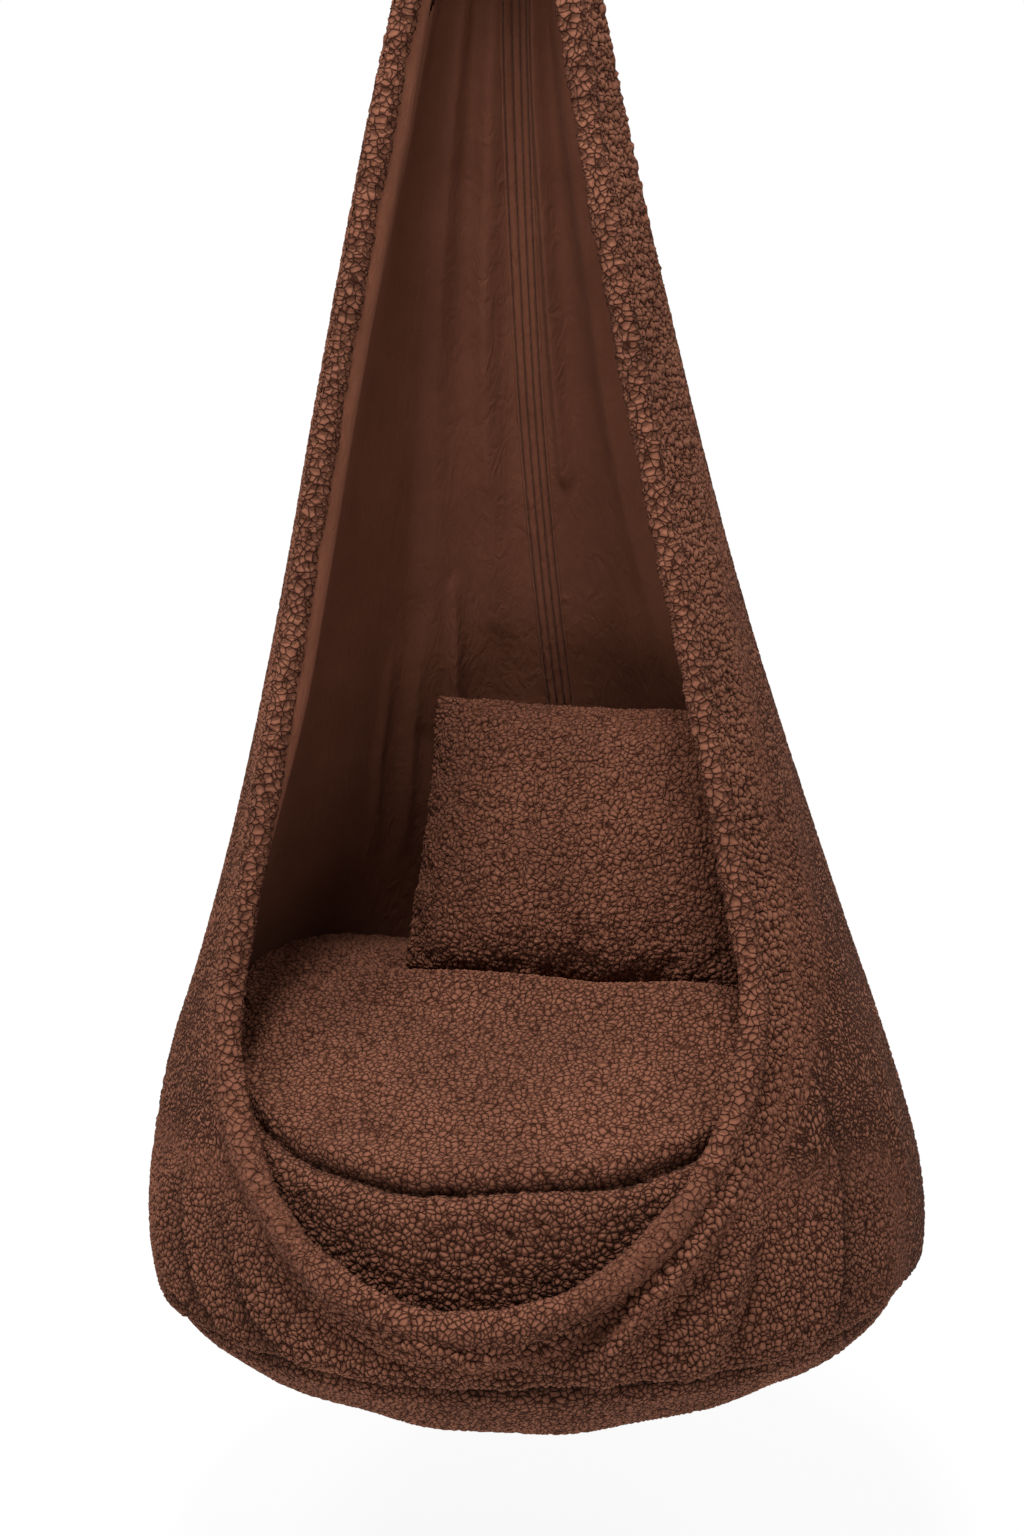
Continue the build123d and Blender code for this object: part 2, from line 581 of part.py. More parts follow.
def swivel_pieces():
    """Swivel: upper eye with its plug, housing, balls and the lower eye with its stem and head."""
    ring_r = SWIVEL_EYE / 2 + SWIVEL_BAR / 2
    ring = Pos(0, 0, EYE_CENTRE) * (Rot(90, 0, 0) * Torus(ring_r, SWIVEL_BAR / 2))
    floor = HOUSING_FOOT + 5
    ball_line = floor + BALL_RADIUS + 0.05
    head_foot = ball_line + BALL_RADIUS + 0.05
    stem_foot = EYE_CENTRE + ring_r - 1
    stem = Pos(0, 0, stem_foot) * Cylinder(
        STEM_RADIUS, head_foot - stem_foot, align=(Align.CENTER, Align.CENTER, Align.MIN)
    )
    head = Pos(0, 0, head_foot) * Cylinder(
        HEAD_RADIUS, HEAD_HEIGHT, align=(Align.CENTER, Align.CENTER, Align.MIN)
    )
    bore = Pos(0, 0, EYE_CENTRE) * (Rot(90, 0, 0) * Cylinder(SWIVEL_EYE / 2, SWIVEL_BAR))
    lower = ring + (stem - bore) + head
    housing = Pos(0, 0, HOUSING_FOOT) * Cylinder(
        HOUSING_RADIUS, HOUSING_HEIGHT, align=(Align.CENTER, Align.CENTER, Align.MIN)
    )
    housing = fillet(housing.edges().group_by(Axis.Z)[0], 2.5)
    cavity_r = HEAD_RADIUS + 0.6
    cavity = Pos(0, 0, floor) * Cylinder(
        cavity_r, HOUSING_HEIGHT, align=(Align.CENTER, Align.CENTER, Align.MIN)
    )
    throat = Pos(0, 0, HOUSING_FOOT) * Cylinder(STEM_RADIUS + 0.3, HOUSING_HEIGHT)
    ball_ring = (STEM_RADIUS + cavity_r) / 2
    balls = Part()
    for index in range(BALL_COUNT):
        turn = 2 * pi * index / BALL_COUNT
        balls = balls + Pos(ball_ring * cos(turn), ball_ring * sin(turn), ball_line) * Sphere(BALL_RADIUS)
    deck = HOUSING_FOOT + HOUSING_HEIGHT
    plug = Pos(0, 0, head_foot + HEAD_HEIGHT + 0.4) * Cylinder(
        cavity_r - 0.05, deck - head_foot - HEAD_HEIGHT - 0.4, align=(Align.CENTER, Align.CENTER, Align.MIN)
    )
    collar = Pos(0, 0, deck + 0.1) * Cylinder(
        HOUSING_RADIUS - 1, 4, align=(Align.CENTER, Align.CENTER, Align.MIN)
    )
    neck = Pos(0, 0, deck - 1) * Cylinder(
        cavity_r - 0.05, 5, align=(Align.CENTER, Align.CENTER, Align.MIN)
    )
    lug = Pos(0, 0, HANG_HEIGHT) * (Rot(90, 0, 0) * Cylinder(EYE_WIDTH / 2, EYE_THICKNESS))
    lug = fillet(lug.edges(), 2.0)
    eye = Pos(0, 0, HANG_HEIGHT) * (Rot(90, 0, 0) * Cylinder(EYE_BORE / 2, 4 * EYE_THICKNESS))
    upper = plug + neck + collar + lug - eye
    return {
        "swivel_upper_eye": upper,
        "swivel_housing": housing - cavity - throat,
        "swivel_balls": balls,
        "swivel_lower_eye": lower,
    }


FIXED_TO_HOOK = Pos(0, 0, -HANG_HEIGHT)
HANGING = Pos(0, 0, RING_BOW - HANG_HEIGHT) * Rot(HANG_TILT, 0, 0) * Pos(0, 0, -RING_BOW)

os.makedirs("parts", exist_ok=True)

hung = {}
hung.update(shell_pieces())
hung.update(neck_pieces())
hung.update(seat_pieces())
hung.update(pillow_pieces())
hung["hanging_ring"] = ring_piece()
for name, shape in hung.items():
    export_step(HANGING * shape, f"parts/{name}.step")

hardware = {}
hardware.update(hook_pieces())
hardware.update(swivel_pieces())
for name, shape in hardware.items():
    export_step(FIXED_TO_HOOK * shape, f"parts/{name}.step")
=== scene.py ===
import math

import bpy
import numpy as np
from mathutils import Matrix, Vector


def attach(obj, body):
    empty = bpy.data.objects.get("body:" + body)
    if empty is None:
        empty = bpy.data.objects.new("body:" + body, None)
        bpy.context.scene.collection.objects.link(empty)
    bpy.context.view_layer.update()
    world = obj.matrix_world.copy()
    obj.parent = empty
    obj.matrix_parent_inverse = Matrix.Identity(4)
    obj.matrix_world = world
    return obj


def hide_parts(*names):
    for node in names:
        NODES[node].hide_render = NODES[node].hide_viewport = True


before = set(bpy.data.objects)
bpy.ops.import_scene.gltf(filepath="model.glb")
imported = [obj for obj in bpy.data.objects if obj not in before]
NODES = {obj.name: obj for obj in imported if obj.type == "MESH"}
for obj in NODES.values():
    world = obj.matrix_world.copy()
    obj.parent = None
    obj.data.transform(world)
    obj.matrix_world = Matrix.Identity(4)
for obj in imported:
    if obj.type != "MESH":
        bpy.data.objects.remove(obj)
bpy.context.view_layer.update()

scene = bpy.context.scene
rng = np.random.default_rng(11)

# Pod shell, in metres above its lowest point: radius and height of each joint of the profile
NECK_TOP = 1.550
SEAM_HEIGHT = 0.088
STATIONS = [
    (0.0380, NECK_TOP),
    (0.1930, 0.862),
    (0.3220, 0.393),
    (0.3670, 0.230),
    (0.3775, 0.140),
    (0.3600, SEAM_HEIGHT),
    (0.1800, 0.000),
    (0.0000, 0.000),
]
PROFILE_STEP = 0.002

# The pod's lowest point is HANG below the frame's origin, and the pod leans about the height BOW
HANG = 1.8394
BOW = 1.674
LEAN = math.radians(-0.764)
LEANING = Matrix.Rotation(LEAN, 4, "X")
POD = Matrix.Translation((0, 0, BOW - HANG)) @ LEANING @ Matrix.Translation((0, 0, -BOW))

# Opening in the front view: a round foot, and straight sides that would meet at the apex
OPENING_RADIUS = 0.244
OPENING_HEIGHT = 0.398
OPENING_APEX = 1.697
RIM_TOP = 1.466
RIM_RADIUS = 0.0115
RIM_DEPTH = 0.0045
RIM_LAP = 0.004
CAP_FOOT = 1.474

# Depths of the layers under the wall's face, and height of the straps' tops
LINING_DEPTH = 0.0140
STRAP_DEPTH = 0.0101
CROSS_DEPTH = 0.0120
STRAP_TOP = 1.548

# Base seam: depth and width of its groove, place and width of the swell beside it, width of the shade painted
# along it
SEAM_TUCK = 0.009
SEAM_WIDTH = 0.007
SWELL_AT = 0.022
SWELL_WIDTH = 0.014
SHADE_WIDTH = 0.005

# Height of the pile's curls
WALL_PILE = 0.0046
BASE_PILE = 0.0042
SEAT_PILE = 0.0042
PILLOW_PILE = 0.0040
CAP_PILE = 0.0034

# Sideways drift of the slack cloth by height
SWAY_HEIGHTS = [0.0, 0.15, 0.35, 0.55, 0.75, 0.95, 1.25, 1.50]
SWAY_DRIFTS = [0.010, 0.010, 0.008, 0.003, -0.004, -0.009, -0.009, 0.0]

# Farther than anything on the pod
FAR = 9.0


def curve(x, xs, ys):
    """Smooth curve through control points, flat at both ends."""
    xs, ys = np.asarray(xs, float), np.asarray(ys, float)
    x = np.clip(np.asarray(x, float), xs[0], xs[-1])
    slope = np.zeros(len(xs))
    slope[1:-1] = (ys[2:] - ys[:-2]) / (xs[2:] - xs[:-2])
    i = np.clip(np.searchsorted(xs, x) - 1, 0, len(xs) - 2)
    w = xs[i + 1] - xs[i]
    t = (x - xs[i]) / w
    a = ys[i] * (1 + 2 * t) * (1 - t) ** 2 + ys[i + 1] * t * t * (3 - 2 * t)
    return a + w * (slope[i] * t * (1 - t) ** 2 - slope[i + 1] * t * t * (1 - t))


def smooth(x, low, high):
    """Soft step from 0 at low to 1 at high."""
    t = np.clip((np.asarray(x, float) - low) / (high - low), 0, 1)
    return t * t * (3 - 2 * t)


def bell(x, width):
    """Soft bump: 1 at zero, fading over this width."""
    return np.exp(-((x / width) ** 2))


def unit(v):
    return v / np.linalg.norm(v, axis=1)[:, None]


def grid(rows, cols):
    return np.meshgrid(rows, cols, indexing="ij")


def profile():
    """Radius and height from the neck to the middle of the floor: arcs between two straight stretches."""
    points = [STATIONS[0]]
    (r0, h0), (r1, h1) = STATIONS[:2]
    size = math.hypot(r1 - r0, h1 - h0)
    tr, th = (r1 - r0) / size, (h1 - h0) / size
    last = len(STATIONS) - 2
    for index in range(last + 1):
        (r0, h0), (r1, h1) = STATIONS[index], STATIONS[index + 1]
        run, rise = r1 - r0, h1 - h0
        count = int(math.hypot(run, rise) / PROFILE_STEP) + 2
        if index in (0, last):
            points += [(r0 + run * k / count, h0 + rise * k / count) for k in range(1, count + 1)]
            continue
        size2 = run * run + rise * rise
        bend = size2 / (2 * (run * th - rise * tr))
        cr, ch = r0 + bend * th, h0 - bend * tr
        start = math.atan2(h0 - ch, r0 - cr)
        turn = math.atan2(h1 - ch, r1 - cr) - start
        turn = (turn + math.pi) % (2 * math.pi) - math.pi
        reach = abs(bend)
        for k in range(1, count + 1):
            a = start + turn * k / count
            points.append((cr + reach * math.cos(a), ch + reach * math.sin(a)))
        along = 2 * (tr * run + th * rise) / size2
        tr, th = along * run - tr, along * rise - th
    return np.array(points)


PROFILE = profile()
LENGTH = np.concatenate([[0], np.cumsum(np.hypot(*np.diff(PROFILE, axis=0).T))])
SEAM_AT = LENGTH[np.argmin(np.abs(PROFILE[:, 1] - SEAM_HEIGHT) + (PROFILE[:, 0] < 0.3))]
TANGENT = unit(np.gradient(PROFILE, axis=0))
UPPER = PROFILE[: int(np.searchsorted(LENGTH, SEAM_AT))][::-1]


def on_profile(s):
    """Radius, height and outward normal (in radius and height) at a distance along the profile."""
    r, h = np.interp(s, LENGTH, PROFILE[:, 0]), np.interp(s, LENGTH, PROFILE[:, 1])
    tr, th = np.interp(s, LENGTH, TANGENT[:, 0]), np.interp(s, LENGTH, TANGENT[:, 1])
    return r, h, -th, tr


def radius(h):
    """Radius of the wall at a height above the seam."""
    return np.interp(h, UPPER[:, 1], UPPER[:, 0])


def along_of(h):
    """Distance along the profile of a height above the seam."""
    return np.interp(h, UPPER[:, 1], LENGTH[: len(UPPER)][::-1])


def sway(h):
    return curve(h, SWAY_HEIGHTS, SWAY_DRIFTS)


def placed(x, y, h):
    """Points of the pod, drifted and hung, in the frame's coordinates."""
    p = np.stack([x + sway(h), y, h], -1)
    m = np.array(POD)
    return p @ m[:3, :3].T + m[:3, 3]


def unplaced(p):
    """The pod's own coordinates of points in the frame."""
    m = np.array(POD)
    q = (p - m[:3, 3]) @ m[:3, :3]
    return q[:, 0] - sway(q[:, 2]), q[:, 1], q[:, 2]


def turned(r, angle, h):
    """Points of the pod, as one list, by radius, angle from the front (right positive) and height."""
    return placed(r * np.sin(angle), -r * np.cos(angle), h).reshape(-1, 3)


def around(count):
    """Angles from the front all the way round the pod, beginning at the back."""
    return np.linspace(-math.pi, math.pi, count, endpoint=False)


def mesh_object(name, points, faces, material, body="pod"):
    mesh = bpy.data.meshes.new(name)
    mesh.from_pydata([tuple(p) for p in points], [], [tuple(f) for f in faces])
    mesh.polygons.foreach_set("use_smooth", [True] * len(mesh.polygons))
    mesh.materials.append(material)
    mesh.update()
    obj = bpy.data.objects.new(name, mesh)
    scene.collection.objects.link(obj)
    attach(obj, body)
    return obj


def grid_faces(rows, cols, wrap_cols=False):
    last = cols if wrap_cols else cols - 1
    r, c = (a.ravel() for a in grid(np.arange(rows - 1), np.arange(last)))
    r1, c1 = r + 1, (c + 1) % cols
    return np.stack([r * cols + c, r1 * cols + c, r1 * cols + c1, r * cols + c1], 1)


def pruned(points, faces, keep):
    """Points and faces with only the kept faces and what they use; also the kept points' numbers."""
    faces = faces[keep]
    used, back = np.unique(faces, return_inverse=True)
    return points[used], back.reshape(faces.shape), used


def tube_about(path, out, wide, segs):
    """Points of a tube along a path; out is the direction of its first seam at each point."""
    lead = unit(np.gradient(path, axis=0))
    out = unit(out - (out * lead).sum(1)[:, None] * lead)
    over = np.cross(lead, out)
    a = np.linspace(0, 2 * math.pi, segs, endpoint=False)
    ring = np.cos(a)[None, :, None] * out[:, None] + np.sin(a)[None, :, None] * over[:, None]
    return (path[:, None] + wide[:, None, None] * ring).reshape(-1, 3)


def read_points(obj, kind):
    """A mesh's coordinates (co) or normals (normal), one row for each point."""
    values = np.zeros(len(obj.data.vertices) * 3, np.float32)
    obj.data.vertices.foreach_get(kind, values)
    return values.reshape(-1, 3)


def move_points(obj, co):
    obj.data.vertices.foreach_set("co", co.astype(np.float32).ravel())
    obj.data.update()


def set_values(obj, name, values):
    data = obj.data.attributes.new(name, "FLOAT", "POINT")
    data.data.foreach_set("value", np.asarray(values, np.float32))


def keep_rest(obj):
    """Stores the undisturbed position of each point, which the pile's pattern follows."""
    data = obj.data.attributes.new("rest", "FLOAT_VECTOR", "POINT")
    data.data.foreach_set("vector", read_points(obj, "co").ravel())


def settle(obj):
    """Makes what the modifiers give the piece's own mesh."""
    graph = bpy.context.evaluated_depsgraph_get()
    result = obj.evaluated_get(graph)
    mesh = bpy.data.meshes.new_from_object(result, preserve_all_data_layers=True, depsgraph=graph)
    obj.modifiers.clear()
    obj.data = mesh


SWELL_FRAMES = 20
COVER_CLOTH = {
    "quality": 6,
    "mass": 0.25,
    "tension_stiffness": 20,
    "compression_stiffness": 12,
    "bending_stiffness": 0.35,
    "use_pressure": True,
    "vertex_group_mass": "held",
}


def swollen(obj, held, pressure, cap, slack):
    """Fills a sewn cover with air as cloth: held points stay, the others move by at most cap."""
    start = read_points(obj, "co").astype(float)
    group = obj.vertex_groups.new(name="held")
    group.add([int(i) for i in np.flatnonzero(held)], 1.0, "REPLACE")
    cloth = obj.modifiers.new("cloth", "CLOTH")
    for key, value in COVER_CLOTH.items():
        setattr(cloth.settings, key, value)
    cloth.settings.uniform_pressure_force = pressure
    cloth.settings.shrink_min = -slack
    cloth.settings.effector_weights.gravity = 0
    cloth.collision_settings.use_collision = False
    cloth.collision_settings.use_self_collision = False
    cloth.point_cache.frame_start = 1
    cloth.point_cache.frame_end = SWELL_FRAMES
    for step in range(1, SWELL_FRAMES + 1):
        scene.frame_set(step)
    graph = bpy.context.evaluated_depsgraph_get()
    move = read_points(obj.evaluated_get(graph), "co") - start
    far = np.linalg.norm(move, axis=1)[:, None]
    move *= np.tanh(far / cap) * cap / np.maximum(far, 1e-9)
    obj.modifiers.clear()
    obj.vertex_groups.clear()
    scene.frame_set(1)
    move_points(obj, start + move)


def subdivided(obj, levels):
    finer = obj.modifiers.new("finer", "SUBSURF")
    finer.levels = finer.render_levels = levels
    settle(obj)


def cloth_area(obj, digits):
    areas = np.zeros(len(obj.data.polygons), np.float32)
    obj.data.polygons.foreach_get("area", areas)
    return round(float(areas.sum()), digits)


# Nodes of the materials and of the pile's relief
def feed(tree, node, inputs):
    """Links each input of a node to a socket, or sets it to a value."""
    for key, value in inputs.items():
        socket = node.inputs[key]
        if isinstance(value, bpy.types.NodeSocket):
            tree.links.new(value, socket)
        else:
            socket.default_value = value


def add(tree, kind, inputs=None, **settings):
    node = tree.nodes.new(kind)
    for key, value in settings.items():
        setattr(node, key, value)
    feed(tree, node, inputs or {})
    return node


def sums(tree, operation, a, b=0.0, c=0.0):
    return add(tree, "ShaderNodeMath", {0: a, 1: b, 2: c}, operation=operation).outputs[0]


def ranged(tree, value, low, high, to_low=0.0, to_high=1.0):
    inputs = {0: value, 1: low, 2: high, 3: to_low, 4: to_high}
    return add(tree, "ShaderNodeMapRange", inputs, interpolation_type="SMOOTHSTEP").outputs[0]


def mixed(tree, factor, a, b):
    return add(tree, "ShaderNodeMix", {"Factor": factor, 2: a, 3: b}, data_type="FLOAT").outputs[0]


def vectors(tree, operation, inputs):
    return add(tree, "ShaderNodeVectorMath", inputs, operation=operation).outputs[0]


def scaled(tree, place, size):
    return vectors(tree, "MULTIPLY", {0: place, 1: size})


def object_place(tree):
    return add(tree, "ShaderNodeTexCoord").outputs["Object"]


def noise(tree, place, scale, detail, **more):
    inputs = {"Vector": place, "Scale": scale, "Detail": detail} | more
    return add(tree, "ShaderNodeTexNoise", inputs).outputs["Fac"]


def bands(tree, place, scale, distortion, direction):
    inputs = {"Vector": place, "Scale": scale, "Distortion": distortion}
    return add(tree, "ShaderNodeTexWave", inputs, wave_type="BANDS", bands_direction=direction).outputs["Fac"]


def voronoi(tree, place, scale, randomness, feature):
    inputs = {"Vector": place, "Scale": scale, "Randomness": randomness}
    return add(tree, "ShaderNodeTexVoronoi", inputs, feature=feature).outputs["Distance"]


def lumps(tree, place, scale, gap):
    """Rounded lumps with narrow grooves between them."""
    knot = voronoi(tree, place, scale, 0.92, "F1")
    edge = voronoi(tree, place, scale, 0.92, "DISTANCE_TO_EDGE")
    dome = ranged(tree, knot, 0.80, 0.0)
    crack = ranged(tree, edge, 0.0, gap)
    return sums(tree, "MULTIPLY_ADD", dome, 0.5, sums(tree, "MULTIPLY", crack, 0.5))


def curls(tree, place, pile):
    """Height of the curls by pile: 0 short worms in swirling patches, 0.6 small lumps, 1 round knots."""
    inputs = {"Vector": place, "Scale": 70.0, "Detail": 1.0}
    wander = add(tree, "ShaderNodeTexNoise", inputs).outputs["Color"]
    offset = vectors(tree, "SUBTRACT", {0: wander, 1: (0.5, 0.5, 0.5)})
    warped = vectors(tree, "MULTIPLY_ADD", {0: offset, 1: (0.009, 0.009, 0.009), 2: place})
    inputs = {"Vector": warped, "Scale": 46.0}
    patch = add(tree, "ShaderNodeTexVoronoi", inputs, feature="F1").outputs["Color"]
    inputs = {"Vector": warped, "Rotation": scaled(tree, patch, (6.3, 6.3, 6.3))}
    swirled = add(tree, "ShaderNodeVectorRotate", inputs, rotation_type="EULER_XYZ").outputs[0]
    drawn = scaled(tree, swirled, (1.0, 0.48, 1.0))
    worms = ranged(tree, voronoi(tree, drawn, 225.0, 0.85, "DISTANCE_TO_EDGE"), 0.0, 0.30)
    small = lumps(tree, warped, 180.0, 0.18)
    large = lumps(tree, warped, 148.0, 0.15)
    fine = mixed(tree, ranged(tree, pile, 0.2, 0.6), worms, small)
    return mixed(tree, ranged(tree, pile, 0.65, 1.0), fine, large)


CURL_MIDDLE = 0.55


def relief(obj, depth):
    """Raises the curls on a mesh for good, the worms a fifth as high as the knots."""
    keep_rest(obj)
    tree = bpy.data.node_groups.new("pile_" + obj.name, "GeometryNodeTree")
    tree.interface.new_socket("Geometry", in_out="INPUT", socket_type="NodeSocketGeometry")
    tree.interface.new_socket("Geometry", in_out="OUTPUT", socket_type="NodeSocketGeometry")
    enter, leave = tree.nodes.new("NodeGroupInput"), tree.nodes.new("NodeGroupOutput")
    stored = "GeometryNodeInputNamedAttribute"
    place = add(tree, stored, {"Name": "rest"}, data_type="FLOAT_VECTOR").outputs[0]
    pile = add(tree, stored, {"Name": "pile"}, data_type="FLOAT").outputs[0]
    height = sums(tree, "SUBTRACT", curls(tree, place, pile), CURL_MIDDLE)
    lift = sums(tree, "MULTIPLY", height, sums(tree, "MULTIPLY_ADD", pile, depth * 0.8, depth * 0.2))
    normal = add(tree, "GeometryNodeInputNormal").outputs[0]
    offset = vectors(tree, "SCALE", {0: normal, "Scale": lift})
    move = add(tree, "GeometryNodeSetPosition", {"Geometry": enter.outputs[0], "Offset": offset})
    tree.links.new(move.outputs[0], leave.inputs[0])
    modifier = obj.modifiers.new("pile", "NODES")
    modifier.node_group = tree
    settle(obj)


def material(name):
    mat = bpy.data.materials.new(name)
    mat.use_nodes = True
    tree = mat.node_tree
    return mat, tree, tree.nodes["Principled BSDF"]


def ramped(tree, value, stops):
    """Colour ramp of (position, colour) stops."""
    ramp = add(tree, "ShaderNodeValToRGB", {"Fac": value})
    marks = ramp.color_ramp.elements
    while len(marks) < len(stops):
        marks.new(0.5)
    for mark, (place, colour) in zip(marks, stops):
        mark.position = place
        mark.color = tuple(colour) + (1,)
    return ramp.outputs[0]


def times(colour, share):
    return [share * c for c in colour]


def bumped(tree, height, strength, distance):
    inputs = {"Strength": strength, "Distance": distance, "Height": height}
    return add(tree, "ShaderNodeBump", inputs).outputs[0]


# Colours of the fleece from between the curls to their tops, darkened between them by painted shade, and how
# much painted shade darkens it under folds and in seams
FLEECE_STOPS = [
    (0.04, (0.020, 0.0058, 0.0029)),
    (0.32, (0.104, 0.0368, 0.0212)),
    (0.95, (0.186, 0.0745, 0.0445)),
]
FLEECE_SHADE = 0.76
SUEDE_STOPS = [(0.32, (0.126, 0.0440, 0.0240)), (0.70, (0.184, 0.0680, 0.0385))]


def fleece(name):
    """Curly sherpa pile: dark between the curls with painted shade, paler and softer on top of them."""
    mat, tree, shader = material(name)
    place = add(tree, "ShaderNodeAttribute", attribute_name="rest").outputs["Vector"]
    pile = add(tree, "ShaderNodeAttribute", attribute_name="pile").outputs["Fac"]
    under = add(tree, "ShaderNodeAttribute", attribute_name="under").outputs["Fac"]
    height = curls(tree, place, pile)
    fuzz = noise(tree, place, 900.0, 2.0)
    # Colour follows the curls' height: painted shade in the gaps between them, lightest on their tops
    shade = sums(tree, "MULTIPLY_ADD", fuzz, 0.16, sums(tree, "SUBTRACT", height, 0.08))
    toned = ramped(tree, shade, FLEECE_STOPS)
    blotch = ranged(tree, noise(tree, place, 9.0, 3.0), 0.3, 0.7, 0.88, 1.12)
    # Painted shade: the colour darkens where folds hang over and along seams
    share = sums(tree, "MULTIPLY", blotch, sums(tree, "MULTIPLY_ADD", under, -FLEECE_SHADE, 1.0))
    full = sums(tree, "MULTIPLY_ADD", fuzz, 0.10, height)
    look = {
        "Base Color": vectors(tree, "SCALE", {0: toned, "Scale": share}),
        "Normal": bumped(tree, full, 1.0, 0.0028),
        "Roughness": ranged(tree, fuzz, 0.2, 0.8, 0.88, 0.98),
        "Specular IOR Level": 0.06,
        "Sheen Weight": 0.04,
        "Sheen Roughness": 0.6,
        "Sheen Tint": (0.75, 0.42, 0.30, 1),
    }
    feed(tree, shader, look)
    return mat


def suede(name, painted_light=1.0):
    """Brushed lining cloth: short nap with a faint mottle and fine crepe wrinkles; a factor above 1 makes a
    brighter copy as painted light.
    """
    mat, tree, shader = material(name)
    place = object_place(tree)
    mottle = noise(tree, place, 14.0, 5.0, Roughness=0.62)
    nap = noise(tree, place, 420.0, 4.0, Roughness=0.7)
    crepe = noise(tree, scaled(tree, place, (1.0, 1.0, 0.45)), 75.0, 3.0, Distortion=1.6)
    shade = sums(tree, "MULTIPLY_ADD", nap, 0.40, sums(tree, "MULTIPLY", mottle, 0.60))
    rough = sums(tree, "MULTIPLY_ADD", crepe, 1.6, sums(tree, "MULTIPLY", nap, 0.22))
    look = {
        "Base Color": ramped(tree, shade, [(at, times(colour, painted_light)) for at, colour in SUEDE_STOPS]),
        "Normal": bumped(tree, rough, 0.7, 0.0015),
        "Roughness": ranged(tree, nap, 0.3, 0.7, 0.78, 0.93),
        "Specular IOR Level": 0.12,
        "Sheen Weight": 0.06,
        "Sheen Roughness": 0.45,
        "Sheen Tint": (0.75, 0.45, 0.33, 1),
    }
    feed(tree, shader, look)
    return mat


def webbing(name, colour):
    """Flat woven webbing: ribs across and a fine twill along it."""
    mat, tree, shader = material(name)
    place = object_place(tree)
    weave = sums(tree, "MULTIPLY", bands(tree, place, 260.0, 0.3, "Z"), bands(tree, place, 210.0, 0.2, "X"))
    look = {
        "Base Color": ramped(tree, weave, [(0.0, times(colour, 0.45)), (1.0, colour)]),
        "Normal": bumped(tree, weave, 0.6, 0.0006),
        "Roughness": ranged(tree, weave, 0.0, 1.0, 0.78, 0.58),
    }
    feed(tree, shader, look)
    return mat


def metal(name, colour, rough):
    """Plated steel with fine brushing, light stains and soft wear."""
    mat, tree, shader = material(name)
    place = object_place(tree)
    brush = noise(tree, scaled(tree, place, (1.0, 1.0, 0.12)), 1600.0, 2.0)
    stain = noise(tree, place, 70.0, 4.0)
    worn = ranged(tree, stain, 0.3, 0.7, rough + 0.06, rough - 0.06)
    look = {
        "Base Color": ramped(tree, stain, [(0.3, times(colour, 0.8)), (0.7, colour)]),
        "Metallic": 1.0,
        "Roughness": sums(tree, "MULTIPLY_ADD", brush, 0.12, worn),
        "Normal": bumped(tree, brush, 0.15, 0.0002),
    }
    feed(tree, shader, look)
    return mat


def thread(name, colour):
    """Twisted sewing thread."""
    mat, tree, shader = material(name)
    place = object_place(tree)
    twist = bands(tree, place, 900.0, 1.0, "DIAGONAL")
    look = {
        "Base Color": ramped(tree, twist, [(0.0, times(colour, 0.6)), (1.0, colour)]),
        "Roughness": ranged(tree, twist, 0.0, 1.0, 0.7, 0.5),
    }
    feed(tree, shader, look)
    return mat


FLEECE = fleece("fleece")
LINING = suede("lining")
# The lining made a tenth brighter as painted light, worn by the band inside the left rim and by the seam tape
PAINTED_LIT_LINING = suede("facing", 1.10)
STEEL = metal("steel", (0.60, 0.59, 0.57), 0.30)
ZIP_METAL = metal("zip_metal", (0.17, 0.115, 0.075), 0.42)
WEBBING = webbing("webbing", (0.075, 0.036, 0.023))
ZIP_TAPE = webbing("zip_tape", (0.070, 0.034, 0.022))
THREAD = thread("thread", (0.042, 0.016, 0.010))

# Rim of the opening
OPENING_TILT = math.asin(OPENING_RADIUS / (OPENING_APEX - OPENING_HEIGHT))
TILT_SIN = math.sin(OPENING_TILT)
TILT_COS = math.cos(OPENING_TILT)
TILT_TAN = math.tan(OPENING_TILT)
BEND = OPENING_RADIUS * (math.pi / 2 + OPENING_TILT)
STRAIGHT = (RIM_TOP - OPENING_HEIGHT - OPENING_RADIUS * TILT_SIN) / TILT_COS


def rim_front(along):
    """Rim in the front view at distances from the middle of the lip: x, height and the outward direction."""
    side = np.sign(along)
    far = np.abs(along)
    turn = np.minimum(far, BEND) / OPENING_RADIUS
    past = np.maximum(far - BEND, 0)
    x = OPENING_RADIUS * np.sin(turn) - past * TILT_SIN
    h = OPENING_HEIGHT - OPENING_RADIUS * np.cos(turn) + past * TILT_COS
    return side * x, h, side * np.sin(turn), -np.cos(turn)


def inside_rim(x, h, grow):
    """Whether a point of the front view is inside the rim grown by this much."""
    reach = OPENING_RADIUS + grow
    ring = x * x + (h - OPENING_HEIGHT) ** 2 < reach * reach
    split = OPENING_HEIGHT + reach * TILT_SIN
    width = reach * TILT_COS - (h - split) * TILT_TAN
    return np.where(h > split, np.abs(x) < np.maximum(width, 0), ring)


def rim_distance(x, h):
    """Distance in the front view from the rim, outward."""
    low = np.hypot(x, h - OPENING_HEIGHT) - OPENING_RADIUS
    high = (np.abs(x) - (OPENING_APEX - h) * TILT_TAN) * TILT_COS
    return np.where(h > OPENING_HEIGHT + OPENING_RADIUS * TILT_SIN, high, low)


# A flank narrower than this share of the other is folded over: width and edge of its shelter, where shade is
# painted under the fold, and the lean
FOLD_OVER = 0.5
SHELTER_WIDTH = 0.024
SHELTER_EDGE = 0.004
FOLD_LEAN = 0.7


